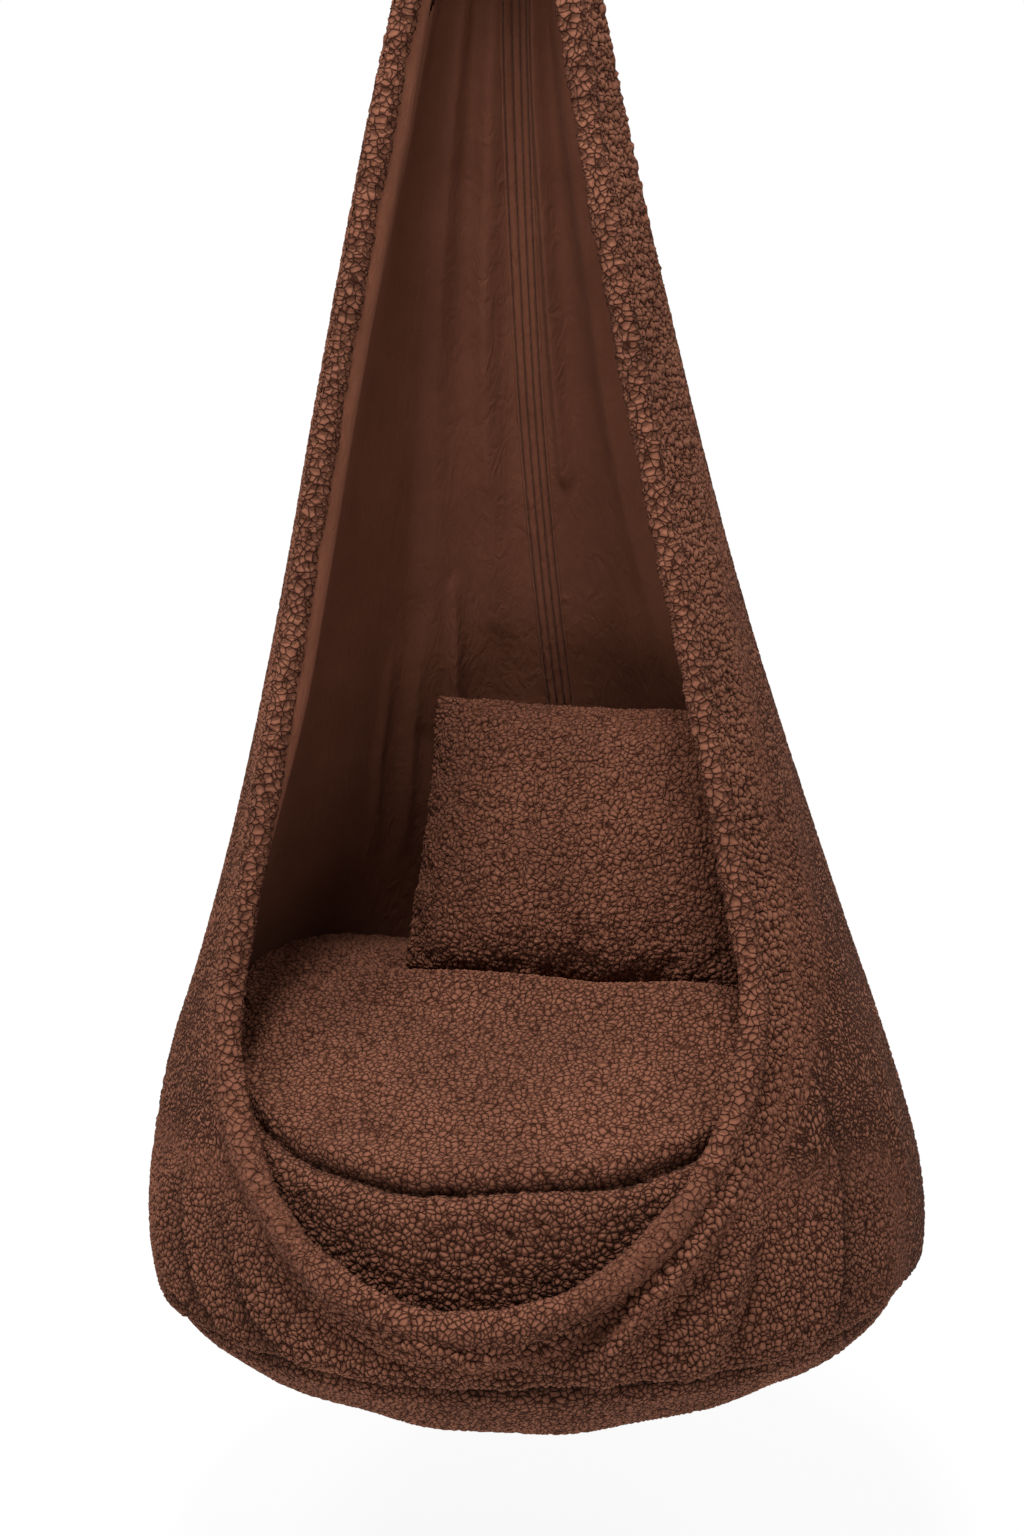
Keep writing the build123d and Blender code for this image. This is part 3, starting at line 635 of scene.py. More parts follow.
def fold(theta, h, path, width, height, steep):
    """Ridge along a path of (degrees, height): its lift, its shift across and up, and the shade painted where
    it hangs over.

    steep narrows the flank right of a path that runs up.
    """
    path = np.array(path, float)
    x, y = np.degrees(theta), h
    best = np.full(theta.shape, FAR)
    side, fade = np.ones_like(best), np.ones_like(best)
    across, up = np.zeros_like(best), np.zeros_like(best)
    scale = np.radians(1) * radius(np.clip(h, SEAM_HEIGHT, NECK_TOP))
    total = len(path) - 1
    for k in range(total):
        (x0, y0), (x1, y1) = path[k], path[k + 1]
        ax, ay = (x1 - x0) * scale, y1 - y0
        px, py = (x - x0) * scale, y - y0
        size = np.hypot(ax, ay)
        t = np.clip((px * ax + py * ay) / size**2, 0, 1)
        d = np.hypot(px - t * ax, py - t * ay)
        near = d < best
        best = np.where(near, d, best)
        side = np.where(near, np.sign(ax * py - ay * px), side)
        gone = np.clip((k + t) / total * 0.9 + 0.05, 0, 1)
        fade = np.where(near, np.sin(math.pi * gone) ** 0.6, fade)
        across, up = np.where(near, ay / size, across), np.where(near, -ax / size, up)
    ridge = fade * bell(best, np.where(side > 0, width, width * steep))
    if steep >= FOLD_OVER:
        return height * ridge, 0.0, 0.0, 0.0
    # Where the fold hangs over: shade is painted here and the cloth drops under it
    under = fade * (side < 0) * bell(best, SHELTER_WIDTH)
    drop = under * (1 - bell(best, SHELTER_EDGE))
    lean = FOLD_LEAN * height * ridge
    return height * (ridge - 0.5 * drop), lean * across, lean * up, under


# Folds of the outer wall: path of (degrees from the front, height), width, height and steepness
WALL_FOLDS = [
    ([(-58, 0.245), (-58.7, 0.190), (-57, 0.156), (-53, 0.130), (-42, 0.108)], 0.026, 0.006, 0.2),
    ([(-51, 0.235), (-48.5, 0.190), (-45, 0.149), (-39, 0.108)], 0.026, 0.006, 0.2),
    ([(-38, 0.205), (-34.5, 0.175), (-31, 0.140), (-25, 0.098)], 0.028, 0.007, 0.2),
    ([(54, 0.108), (57, 0.140), (58, 0.200), (60.4, 0.256), (60, 0.320)], 0.028, 0.006, 0.2),
    ([(41, 0.262), (31.7, 0.216), (24.4, 0.176), (20.3, 0.135), (19, 0.092)], 0.014, 0.016, 0.7),
    ([(42, 0.240), (38.5, 0.190), (35.1, 0.140), (32, 0.100)], 0.013, 0.013, 0.7),
    ([(33, 0.236), (26.4, 0.192), (20, 0.160), (15, 0.128)], 0.010, -0.012, 1.0),
    ([(36, 0.205), (31, 0.172), (27, 0.138), (25.5, 0.100)], 0.010, -0.010, 1.0),
    ([(47, 0.235), (43.5, 0.190), (40, 0.140), (38, 0.105)], 0.010, -0.008, 1.0),
    ([(-10, 0.138), (-3.8, 0.137), (2, 0.132), (7, 0.140)], 0.013, 0.010, 1.0),
    ([(12, 0.100), (7, 0.113), (2, 0.100)], 0.012, -0.010, 1.0),
    ([(-26, 0.172), (-16.3, 0.134), (-6, 0.112)], 0.011, -0.008, 1.0),
    ([(82, 0.330), (80, 0.240), (83, 0.150)], 0.020, 0.005, 0.5),
    ([(-84, 0.150), (-80, 0.240), (-78, 0.360)], 0.022, 0.005, 0.5),
    ([(120, 0.120), (123, 0.230), (118, 0.420)], 0.032, 0.009, 0.6),
    ([(160, 0.110), (157, 0.220), (162, 0.380)], 0.034, 0.008, 0.6),
    ([(-150, 0.400), (-146, 0.220), (-151, 0.110)], 0.034, 0.009, 0.6),
    ([(-112, 0.400), (-116, 0.220), (-111, 0.110)], 0.032, 0.008, 0.6),
]


def wall_folds(theta, h):
    """Lift, shift across and up, and painted shade under the outer wall's folds, by angle from the front."""
    lift = 0.0024 * np.cos(12 * theta + 2.0 * np.sin(2 * theta)) * smooth(h, 0.45, 1.3)
    lift += 0.0026 * np.sin(7 * theta + 9 * h + 1.3) * smooth(h, 0.55, 0.25)
    lift += 0.0014 * np.sin(17 * theta - 6 * h) * smooth(h, 0.5, 0.2)
    across, up, under = (np.zeros(theta.shape) for _ in range(3))
    for path, width, height, steep in WALL_FOLDS:
        parts = fold(theta, h, path, width, height, steep)
        lift, across, up = lift + parts[0], across + parts[1], up + parts[2]
        under = np.maximum(under, parts[3])
    return lift, across, up, under


# The wall's finer cells: how far above the seam and to which side of the front they reach
FINE_REACH = 0.50
FINE_SIDE = math.radians(76)


def wall_grid():
    """Distances along the profile and angles of the wall's cells, which are finer low down and in front."""
    fine = SEAM_AT - FINE_REACH
    s = np.concatenate([np.linspace(0.0, fine, 260, endpoint=False), np.linspace(fine, SEAM_AT, 270)])
    before = np.linspace(-FINE_SIDE, FINE_SIDE, 540, endpoint=False)
    behind = np.linspace(FINE_SIDE, 2 * math.pi - FINE_SIDE, 300, endpoint=False)
    t = (np.concatenate([before, behind]) + math.pi) % (2 * math.pi) - math.pi
    return grid(s, t)


def build_wall():
    """Outer wall: coarse knots along the rim, small lumps low in front and worms elsewhere."""
    S, T = wall_grid()
    r, h, nr, nh = on_profile(S)
    flat_x = r * np.sin(T)
    front = np.cos(T) > 0
    near = np.where(front, np.abs(rim_distance(flat_x, h)), FAR)
    above = SEAM_AT - S
    lift, across, up, under = wall_folds(T, h)
    lift += 0.006 * bell(near, 0.020)
    lift -= SEAM_TUCK * bell(above, SEAM_WIDTH)
    lift += 0.003 * bell(above - SWELL_AT, SWELL_WIDTH)
    r = r + nr * lift
    points = turned(r, T + across / np.maximum(r, 0.03), h + nh * lift + up)
    faces = grid_faces(*S.shape, wrap_cols=True)
    cut = (front & inside_rim(flat_x, h, RIM_LAP)).ravel()
    points, faces, used = pruned(points, faces, ~cut[faces].all(1))
    band = np.where(np.sin(T) > 0, 0.050, 0.026)
    pile = 0.10 + 0.95 * np.exp(-((near / band) ** 4))
    pile = np.maximum(pile, 0.62 * smooth(h, 0.34, 0.20) * smooth(np.cos(T), -0.2, 0.5))
    wall = mesh_object("outer_wall_cloth", points, faces, FLEECE)
    area = cloth_area(wall, 3)
    set_values(wall, "pile", np.clip(pile.ravel()[used], 0, 1))
    # Shade painted under the folds and along the base seam
    set_values(wall, "under", np.maximum(under, bell(above, SHADE_WIDTH)).ravel()[used])
    relief(wall, WALL_PILE)
    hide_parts("outer_wall")


def build_roll():
    """Rolled edge of the opening, thicker and finer at the lip."""
    segs, half = 28, BEND + STRAIGHT
    along = np.linspace(-half, half, 1100)
    x, h, _, _ = rim_front(along)
    lip = bell(along, 0.30)
    r = radius(h) - RIM_DEPTH + 0.004 * lip
    y = -np.sqrt(np.maximum(r * r - x * x, 0))
    path = placed(x, y, h)
    wide = (RIM_RADIUS + 0.0045 * lip) * (1 + 0.06 * np.sin(along * 41) + 0.05 * np.sin(along * 97 + 1))
    points = tube_about(path, np.stack([x, y, np.zeros_like(x)], 1), wide, segs)
    roll = mesh_object("rim_roll_cloth", points, grid_faces(len(along), segs, wrap_cols=True), FLEECE)
    pile = np.where(x > 0, 1.0, 0.96) - 0.36 * bell(along, 0.20)
    set_values(roll, "pile", np.repeat(pile, segs))
    relief(roll, WALL_PILE)
    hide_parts("rim_roll", "rim_rope")


# Folds of the lining: path of (degrees from the middle of the back, height), width and height
LINING_FOLDS = [
    ([(24, 1.45), (13.5, 1.22), (9.5, 1.02), (7.5, 0.85)], 0.009, 0.0075),
    ([(-16, 1.40), (-18, 1.00), (-15, 0.70)], 0.020, 0.006),
    ([(-38, 1.35), (-36, 0.95), (-33, 0.60)], 0.022, 0.006),
    ([(-28, 0.74), (-27, 0.60), (-29, 0.46)], 0.010, 0.006),
    ([(-37, 0.70), (-38, 0.58), (-37, 0.46)], 0.010, 0.005),
    ([(-45, 0.66), (-46, 0.56), (-44, 0.46)], 0.009, 0.004),
    ([(32, 1.30), (30, 0.90), (33, 0.60)], 0.024, 0.005),
]
LINING_STEEP = 0.6
LINING_FULLNESS = 1.7


def lining_folds(theta, h):
    """How far the lining's soft hanging folds stand into the pod; theta from the middle of the back."""
    deep = 0.0026 * (1 + np.sin(14 * theta + 3 * np.sin(2.1 * h + 1.0)))
    for path, width, height in LINING_FOLDS:
        deep = deep + fold(theta, h, path, width, LINING_FULLNESS * height, LINING_STEEP)[0]
    return deep * smooth(h, 0.40, 0.52) * np.minimum(1, radius(h) / 0.10)


def hem_share(h):
    """How fully the turned hem left of the opening stands out by height."""
    return smooth(h, 0.40, 0.70) * np.minimum(1, radius(h) / 0.12)


def hem_bulge(near, x, h):
    """How far that hem holds the lining off the wall."""
    inner = smooth(near, -0.01, 0.014) * bell(np.maximum(near - 0.014, 0), 0.045)
    return 0.020 * inner * smooth(-x, 0.0, 0.02) * hem_share(h)


def build_lining():
    rows, cols = 300, 420
    S, T = grid(np.linspace(0.0, SEAM_AT, rows), around(cols))
    r, h, nr, nh = on_profile(S)
    front = np.cos(T) > 0
    back = np.arctan2(np.sin(T), -np.cos(T))
    near = np.where(front, rim_distance(r * np.sin(T), h), FAR)
    deep = LINING_DEPTH + lining_folds(back, h) + hem_bulge(near, np.sin(T), h)
    cut = (front & inside_rim((r - LINING_DEPTH) * np.sin(T), h, RIM_LAP)).ravel()
    points = turned(r - nr * deep, T, h - nh * deep)
    faces = grid_faces(rows, cols, wrap_cols=True)[:, ::-1]
    points, faces, _ = pruned(points, faces, ~cut[faces].all(1))
    lining = mesh_object("lining_cloth", points, faces, LINING)
    area = cloth_area(lining, 3)
    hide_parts("lining_wall")


FACING_DEPTH = 0.0125


def build_facing():
    """Smooth band of lining cloth inside the left rim, in the lining brightened as painted light."""
    along = np.linspace(0.75 * BEND, BEND + STRAIGHT - 0.012, 420)
    w = np.linspace(0.0, 1.0, 13)
    A, W = grid(along, w)
    x, h, nx, nh = rim_front(-A)
    sunk = LINING_DEPTH - FACING_DEPTH + 0.0215 * hem_share(h)
    deep = FACING_DEPTH + sunk * np.sin(0.5 * math.pi * W) + 0.0006
    away = -0.004 + 0.022 * W**1.5
    h = np.minimum(h + nh * away, 1.53)
    r = radius(h)
    turn = np.arcsin(np.clip(x / (r - RIM_DEPTH), -0.999, 0.999)) + nx * away / r
    points = turned(r - deep, turn, h)
    facing = mesh_object("facing_left", points, grid_faces(len(along), len(w))[:, ::-1], PAINTED_LIT_LINING)
    area = cloth_area(facing, 4)


# Seam tape: its rows of stitches across, the stitches' pitch and half length, and its lower end
TAPE_ROWS = (-0.0118, -0.0035, 0.0045, 0.0120)
TAPE_PITCH = 0.0031
TAPE_STITCH = 0.00105
TAPE_FOOT = 0.345


def tape_lift(w):
    """Height of the seam tape above the lining across its width: padded between its rows of stitches."""
    lift = 0.0036 * (1 - (np.abs(w) / 0.0152) ** 6)
    for row in TAPE_ROWS:
        lift = lift - 0.0019 * bell(w - row, 0.0013)
    return lift + 0.0003


def on_back(s, w, lift):
    """Point of the lining's face near the middle of the back, w aside and this much into the pod."""
    r, h, nr, nh = on_profile(s)
    drift = w + 0.004 * np.sin(5.0 * h + 0.4)
    back = drift / np.maximum(r - LINING_DEPTH, 0.02)
    deep = LINING_DEPTH + lining_folds(back, h) + lift
    r, h = r - nr * deep, h - nh * deep
    return placed(r * np.sin(back), r * np.cos(back), h)


def build_tape():
    s = np.arange(along_of(CAP_FOOT), along_of(TAPE_FOOT), 0.004)
    w = np.linspace(-0.015, 0.015, 61)
    S, W = grid(s, w)
    points = on_back(S, W, tape_lift(W)).reshape(-1, 3)
    # The tape wears the lining brightened as painted light
    tape = mesh_object("back_tape_cloth", points, grid_faces(len(s), len(w)), PAINTED_LIT_LINING)
    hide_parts("back_seam_tape")
    at = np.arange(s[0] + 0.004, s[-1] - 0.004, TAPE_PITCH)
    first, last = [], []
    for row in TAPE_ROWS:
        aside, lift = np.full(len(at), row), np.full(len(at), float(tape_lift(row)) + 0.0004)
        first.append(on_back(at - TAPE_STITCH, aside, lift))
        last.append(on_back(at + TAPE_STITCH, aside, lift))
    sewn = stitches("back_tape_stitches", np.concatenate(first), np.concatenate(last), 0.0006)


# A stitch is four rings of points: place along it and share of its thickness
STITCH_RINGS = ((-0.5, 0.45), (-0.34, 1.0), (0.34, 1.0), (0.5, 0.45))
STITCH_SIDES = 6


def stitches(name, first, last, thick):
    """Short thick threads between pairs of points."""
    length = last - first
    lead = unit(length)
    up = unit(np.cross(lead, np.array([0.31, 0.17, 0.93])))
    over = np.cross(lead, up)
    middle = (first + last) / 2
    points = []
    for at, wide in STITCH_RINGS:
        for side in range(STITCH_SIDES):
            turn = side * 2 * math.pi / STITCH_SIDES
            spoke = math.cos(turn) * up + math.sin(turn) * over
            points.append(middle + at * length + wide * thick * spoke)
    each = len(points)
    faces = grid_faces(len(STITCH_RINGS), STITCH_SIDES, wrap_cols=True)[:, [0, 3, 2, 1]]
    quads = (faces[None] + each * np.arange(len(first))[:, None, None]).reshape(-1, 4)
    return mesh_object(name, np.stack(points, 1).reshape(-1, 3), quads, THREAD)


STRAP_HALF = 0.0145


def build_strap(name, node, turns, depth, flat):
    """Load strap between wall and lining: runs of (angle, top, shift) to the middle of the floor."""
    points, faces = [], []
    w = np.linspace(-STRAP_HALF, STRAP_HALF, 7)
    for turn, top, shift in turns:
        s = np.arange(along_of(top), LENGTH[-1], 0.008)
        S, W = grid(s, w)
        r, h, nr, nh = on_profile(S)
        r, h = np.maximum(r - nr * depth, 0), h - nh * depth
        x = W + shift
        y = -np.sqrt(np.maximum(r * r - x**2, 0))
        c, d = math.cos(turn), math.sin(turn)
        base = sum(len(p) for p in points)
        points.append(placed(c * x - d * y, d * x + c * y, h).reshape(-1, 3))
        faces.append(grid_faces(len(s), len(w)) + base)
    strap = mesh_object(name, np.concatenate(points), np.concatenate(faces), WEBBING)
    area = min(cloth_area(strap, 4), round(flat[0] * flat[1], 4))
    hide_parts(node)


def fan(ring, tip):
    """Triangles from a closed ring of points to its tip."""
    return [(tip, int(b), int(a)) for a, b in zip(ring, np.roll(ring, -1))]


def build_base(name, node, depth, mat, pile):
    """Base cloth at a depth under the profile; with pile, the outer panel with its seam."""
    rows, cols = (110, 700) if pile else (60, 240)
    S, T = grid(np.linspace(SEAM_AT, LENGTH[-1] - 0.004, rows), around(cols))
    r, h, nr, nh = on_profile(S)
    below = S - SEAM_AT
    tuck = np.full(S.shape, depth)
    if pile:
        swell = 0.002 * bell(below - SWELL_AT, SWELL_WIDTH)
        sag = 0.0025 * np.sin(5 * T + 1) + 0.0018 * np.sin(13 * T + 4)
        tuck = tuck + SEAM_TUCK * bell(below, SEAM_WIDTH) - swell
        tuck = tuck - sag * smooth(below, 0.01, 0.06) * smooth(h, 0.0, 0.03)
    tip = placed(np.array([0.0]), np.array([0.0]), np.array([depth]))
    points = np.concatenate([turned(r - nr * tuck, T, h - nh * tuck), tip])
    faces = [tuple(f) for f in grid_faces(rows, cols, wrap_cols=True)]
    faces += fan((rows - 1) * cols + np.arange(cols), len(points) - 1)
    base = mesh_object(name, points, faces, mat)
    area = cloth_area(base, 3)
    if pile:
        set_values(base, "pile", np.full(len(points), 0.62))
        # Shade painted along the seam
        set_values(base, "under", np.append(bell(below, SHADE_WIDTH), 0.0))
        relief(base, pile)
    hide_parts(node)


# Seat cushion: radius and back shift of its dome, heights, and radius of its side by height
SEAT_DOME = 0.956
SEAT_BACK = 0.1345
SEAT_CROWN = 0.388
SEAT_LOW = 0.098
SEAT_LOW_RADIUS = 0.3278
SEAT_ZIP = 0.249
SEAT_SIDE = np.polyfit([SEAT_LOW, SEAT_ZIP, 0.400], [SEAT_LOW_RADIUS, 0.3378, 0.2854], 2)
SEAT_TILT = 0.030
SEAT_EASE = 0.003
SEAT_COLUMNS = 176
FLOOR_RADIUS = 0.162
FLOOR_HEIGHT = 0.0158
FLOOR_MIDDLE = 0.0165
ZIP_BACK = 0.21
PILLOW_MIDDLE = 0.034


def seat_top(x, y):
    """Height of the cushion's top: full shoulders, a dent under the pillow's edge and a swell before it."""
    ball = SEAT_CROWN - SEAT_DOME + np.sqrt(SEAT_DOME**2 - x * x - (y - SEAT_BACK) ** 2)
    ball = ball + SEAT_TILT * smooth(np.maximum(-x, x + 0.05), 0.10, 0.27) * smooth(y, -0.34, -0.05)
    ahead = y + 0.140 * (x - PILLOW_MIDDLE)
    beside = smooth(0.23 - np.abs(x - PILLOW_MIDDLE), 0.0, 0.07)
    dent = 0.007 * bell(ahead, 0.020) - 0.015 * bell(ahead + 0.050, 0.034)
    return ball - 0.028 * smooth(y, 0.02, 0.25) * smooth(0.05 - x, 0.0, 0.10) - dent * beside


def near_zip(y, h, reach):
    """Points of the cushion within reach of its zip, which runs round its back."""
    return (np.abs(h - SEAT_ZIP) < reach) & (y > ZIP_BACK)


def seat_seam(t):
    """Height and radius of the cushion's upper seam by angle from the front."""
    brim = np.full(len(t), 0.33)
    for _ in range(40):
        r = np.polyval(SEAT_SIDE, brim) - 0.002
        brim = seat_top(r * np.sin(t), -r * np.cos(t))
    edge = np.polyval(SEAT_SIDE, brim) - 0.007
    brim = brim + 0.018 * bell(np.degrees(t) + 62, 30) + 0.006 * bell(np.degrees(t) - 58, 28)
    return brim + 0.004 * np.sin(5 * t + 0.7) + 0.0025 * np.sin(11 * t), edge


def seat_rings(t, brim, edge):
    """Rings of the cover from its floor up its side and over its top, and the rows of its two seams."""
    rows = []

    def ring(r, h):
        rows.append(np.stack([r * np.sin(t), -r * np.cos(t), np.broadcast_to(h, t.shape)], -1))

    for r, h in [(0.02, FLOOR_MIDDLE), (0.06, 0.0160), (0.11, FLOOR_HEIGHT), (FLOOR_RADIUS, 0.0160)]:
        ring(r, h)
    for k in range(1, 9):
        r = FLOOR_RADIUS + (SEAT_LOW_RADIUS - FLOOR_RADIUS) * k / 8
        ring(r, FLOOR_HEIGHT + (SEAT_LOW - FLOOR_HEIGHT) * (k / 8) ** 2)
    low_seam = len(rows) - 1
    for k in range(1, 17):
        h = SEAT_LOW + (brim - SEAT_LOW) * k / 16
        r = np.polyval(SEAT_SIDE, h) - (0.008 if k == 16 else SEAT_EASE) - 0.004 * (k == 15)
        ring(r - 0.006 * math.sin(math.pi * k / 17) * smooth(np.cos(t), 0.2, 0.7), h)
    top_seam = len(rows) - 1
    for k in range(1, 25):
        v = 1 - (k / 24.0) ** 0.9 * 0.96
        r = v * edge
        lip = bell(1 - v, 0.045)
        ring(r, (1 - lip) * (seat_top(r * np.sin(t), -r * np.cos(t)) - SEAT_EASE) + lip * brim)
    return np.stack(rows), low_seam, top_seam


def seat_cover(t, brim, edge):
    """Points and faces of the cover, puckered at its upper seam, and the points held while it fills."""
    points, low_seam, top_seam = seat_rings(t, brim, edge)
    count, cols = points.shape[:2]
    pucker = rng.normal(size=(count, cols)) * 0.0006
    sides = bell(np.abs(np.degrees(t)) - 62, 26)
    for step, share in ((-2, 0.6), (-1, 1.0), (1, 1.0), (2, 0.6)):
        wave = np.sin(np.arange(cols) * 1.9 + rng.uniform(0, 6)) * (0.0012 + 0.0030 * sides)
        pucker[top_seam + step] += share * wave
    points[..., 2] += pucker * smooth(points[..., 2], 0.12, 0.2)
    flat = points.reshape(-1, 3)
    zip_line = near_zip(flat[:, 1], flat[:, 2], 0.016)
    flat[zip_line, :2] *= 0.984
    held = np.zeros((count, cols), bool)
    held[: low_seam + 1] = True
    held[top_seam] = True
    held = np.concatenate([held.ravel() | zip_line, [True, False]])
    tips = np.array([[0, 0, FLOOR_MIDDLE], [0, 0, float(seat_top(0, 0)) - SEAT_EASE]])
    flat = np.concatenate([flat, tips])
    ring = np.arange(cols)
    faces = [tuple(f) for f in grid_faces(count, cols, wrap_cols=True)[:, ::-1]]
    faces += [(tip, a, b) for tip, b, a in fan(ring, len(flat) - 2)]
    faces += fan((count - 1) * cols + ring, len(flat) - 1)
    return placed(flat[:, 0], flat[:, 1], flat[:, 2]), faces, held


def press_seam(seat, t, brim, edge):
    """Draws the cushion's upper seam in, swells the cover above it, and sets its pile and the shade painted
    along the seam.
    """
    co = read_points(seat, "co").astype(float)
    x, y, h = unplaced(co)
    turn, far = np.arctan2(x, -y), np.hypot(x, y)
    seam_h = np.interp(turn, t, brim, period=2 * math.pi)
    seam_r = np.interp(turn, t, edge, period=2 * math.pi)
    d = np.hypot(far - seam_r, h - seam_h)
    over = np.where(h > seam_h, 0.008, 0.001)
    lift = -0.018 * bell(d, 0.0070) + over * bell(d - 0.022, 0.013)
    lift *= smooth(-y, -0.28, -0.10)
    move_points(seat, co + lift[:, None] * read_points(seat, "normal"))
    pile = 0.52 + 0.08 * smooth(seam_h - h, -0.01, 0.02) - 0.14 * smooth(y, 0.0, 0.25)
    set_values(seat, "pile", np.where(near_zip(y, h, 0.02), 0.0, pile))
    # Shade painted along the upper seam
    set_values(seat, "under", bell(d, SHADE_WIDTH))


def build_seat():
    t = around(SEAT_COLUMNS)
    brim, edge = seat_seam(t)
    points, faces, held = seat_cover(t, brim, edge)
    seat = mesh_object("seat_cushion", points, faces, FLEECE)
    swollen(seat, held, 3.0, 0.006, 0.03)
    subdivided(seat, 2)
    press_seam(seat, t, brim, edge)
    relief(seat, SEAT_PILE)
    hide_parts("seat_cover_top", "seat_cover_side", "seat_cover_bottom", "seat_fill")


# Scatter pillow: its place, half sizes and half thickness, how far its sides are drawn in, and its room
PILLOW = Matrix.Translation((0.042, 0.060, 0.5159)) @ Matrix.Rotation(math.radians(-8), 4, "Z")
PILLOW = POD @ PILLOW @ Matrix.Rotation(math.radians(66), 4, "X")
PILLOW_WIDE = 0.178
PILLOW_TALL = 0.150
PILLOW_THICK = 0.046
PILLOW_DRAW = 0.008
PILLOW_ASIDE = 0.017
PILLOW_ROOM = 0.026
PILLOW_CELLS = 46


def pillow_cover():
    """Points and faces of the pillow's two sewn sides, in its own plane, and which points are on its edge."""
    side = np.linspace(-1, 1, PILLOW_CELLS + 1)
    side = np.sign(side) * (1 - (1 - np.abs(side)) ** 1.25)
    U, V = grid(side, side)
    rounding = 1 - 0.030 * (U * V) ** 4
    X = U * (PILLOW_WIDE - PILLOW_DRAW * (1 - V * V) * U * U) * rounding + PILLOW_ASIDE
    Y = V * (PILLOW_TALL - PILLOW_DRAW * (V > 0) * (1 - U * U) * V * V) * rounding
    Y = Y - np.where(V < 0, 0.006, 0.020) * V * V
    Z = PILLOW_THICK * ((1 - U**2) * (1 - V**2)) ** 0.42
    Z = Z + 0.0010 * rng.normal(size=Z.shape) * (Z > 0.004)
    border = (np.abs(U) > 0.9999) | (np.abs(V) > 0.9999)
    inner = ~border
    upper = np.arange(U.size).reshape(U.shape)
    lower = upper.copy()
    lower[inner] = upper.size + np.arange(inner.sum())
    before = np.stack([X, Y, Z], -1).reshape(-1, 3)
    behind = np.stack([X[inner], Y[inner], -Z[inner]], -1)
    faces = []
    for ids, order in ((upper, 1), (lower, -1)):
        quads = np.stack([ids[:-1, :-1], ids[1:, :-1], ids[1:, 1:], ids[:-1, 1:]], -1).reshape(-1, 4)
        faces.append(quads[:, ::order])
    edge = np.concatenate([border.ravel(), np.zeros(len(behind), bool)])
    return np.concatenate([before, behind]), np.concatenate(faces), edge


def build_pillow():
    """Scatter pillow, kept inside the lining."""
    local, faces, edge = pillow_cover()
    m = np.array(PILLOW)
    x, y, h = unplaced(local @ m[:3, :3].T + m[:3, 3])
    room = (radius(np.clip(h, SEAM_HEIGHT, NECK_TOP)) - PILLOW_ROOM) / np.maximum(np.hypot(x, y), 0.01)
    room = np.minimum(room, 1)
    pillow = mesh_object("scatter_pillow", placed(x * room, y * room, h), faces, FLEECE, "pillow")
    swollen(pillow, edge, 3.5, 0.012, 0.05)
    subdivided(pillow, 2)
    set_values(pillow, "pile", np.full(len(pillow.data.vertices), 0.46))
    relief(pillow, PILLOW_PILE)
    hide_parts("pillow_front", "pillow_back", "pillow_fill")


# Neck cap: radius and height of the foot it is turned under at, and of the top it is gathered to
CAP_HEM = [(0.0560, 1.4765), (0.0590, 1.4745), (0.0625, 1.4745), (0.0645, 1.4780)]
CAP_TOP = [(0.0455, 1.5575), (0.0420, 1.5595), (0.0360, 1.5600), (0.0300, 1.5600), (0.0240, 1.5595)]
CAP_MOUTH = (0.0235, 1.5560)


def build_cap():
    """Gathered fleece cap over the neck, with a mouth pressed flat for the sling."""
    outline = CAP_HEM + [(0.0640 - 0.0168 * k / 18, 1.4800 + 0.0740 * k / 18) for k in range(1, 19)]
    outline += CAP_TOP + [CAP_MOUTH]
    cols = 150
    t = around(cols)
    rows = []
    for r, h in outline:
        wide = r + 0.0011 * np.sin(16 * t) * smooth(h, 1.49, 1.55) * (r > 0.03)
        x, y = wide * np.sin(t), -wide * np.cos(t)
        if r < 0.04:
            y = y * (0.34 + 0.66 * (r - CAP_MOUTH[0]) / 0.0165)
        rows.append(placed(x, y, np.full(cols, h)))
    faces = grid_faces(len(rows), cols, wrap_cols=True)[:, ::-1]
    cap = mesh_object("neck_cap_cloth", np.concatenate(rows), faces, FLEECE)
    area = cloth_area(cap, 4)
    subdivided(cap, 1)
    set_values(cap, "pile", np.full(len(cap.data.vertices), 0.7))
    relief(cap, CAP_PILE)
    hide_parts("neck_cap")


# Sling: heights of its foot and of the ring's bar, bend over the bar, half width and half thickness
SLING_FOOT = 1.4705
SLING_TOP = 1.642
SLING_BEND = 0.0058
SLING_HALF = 0.0198
SLING_THICK = 0.0014


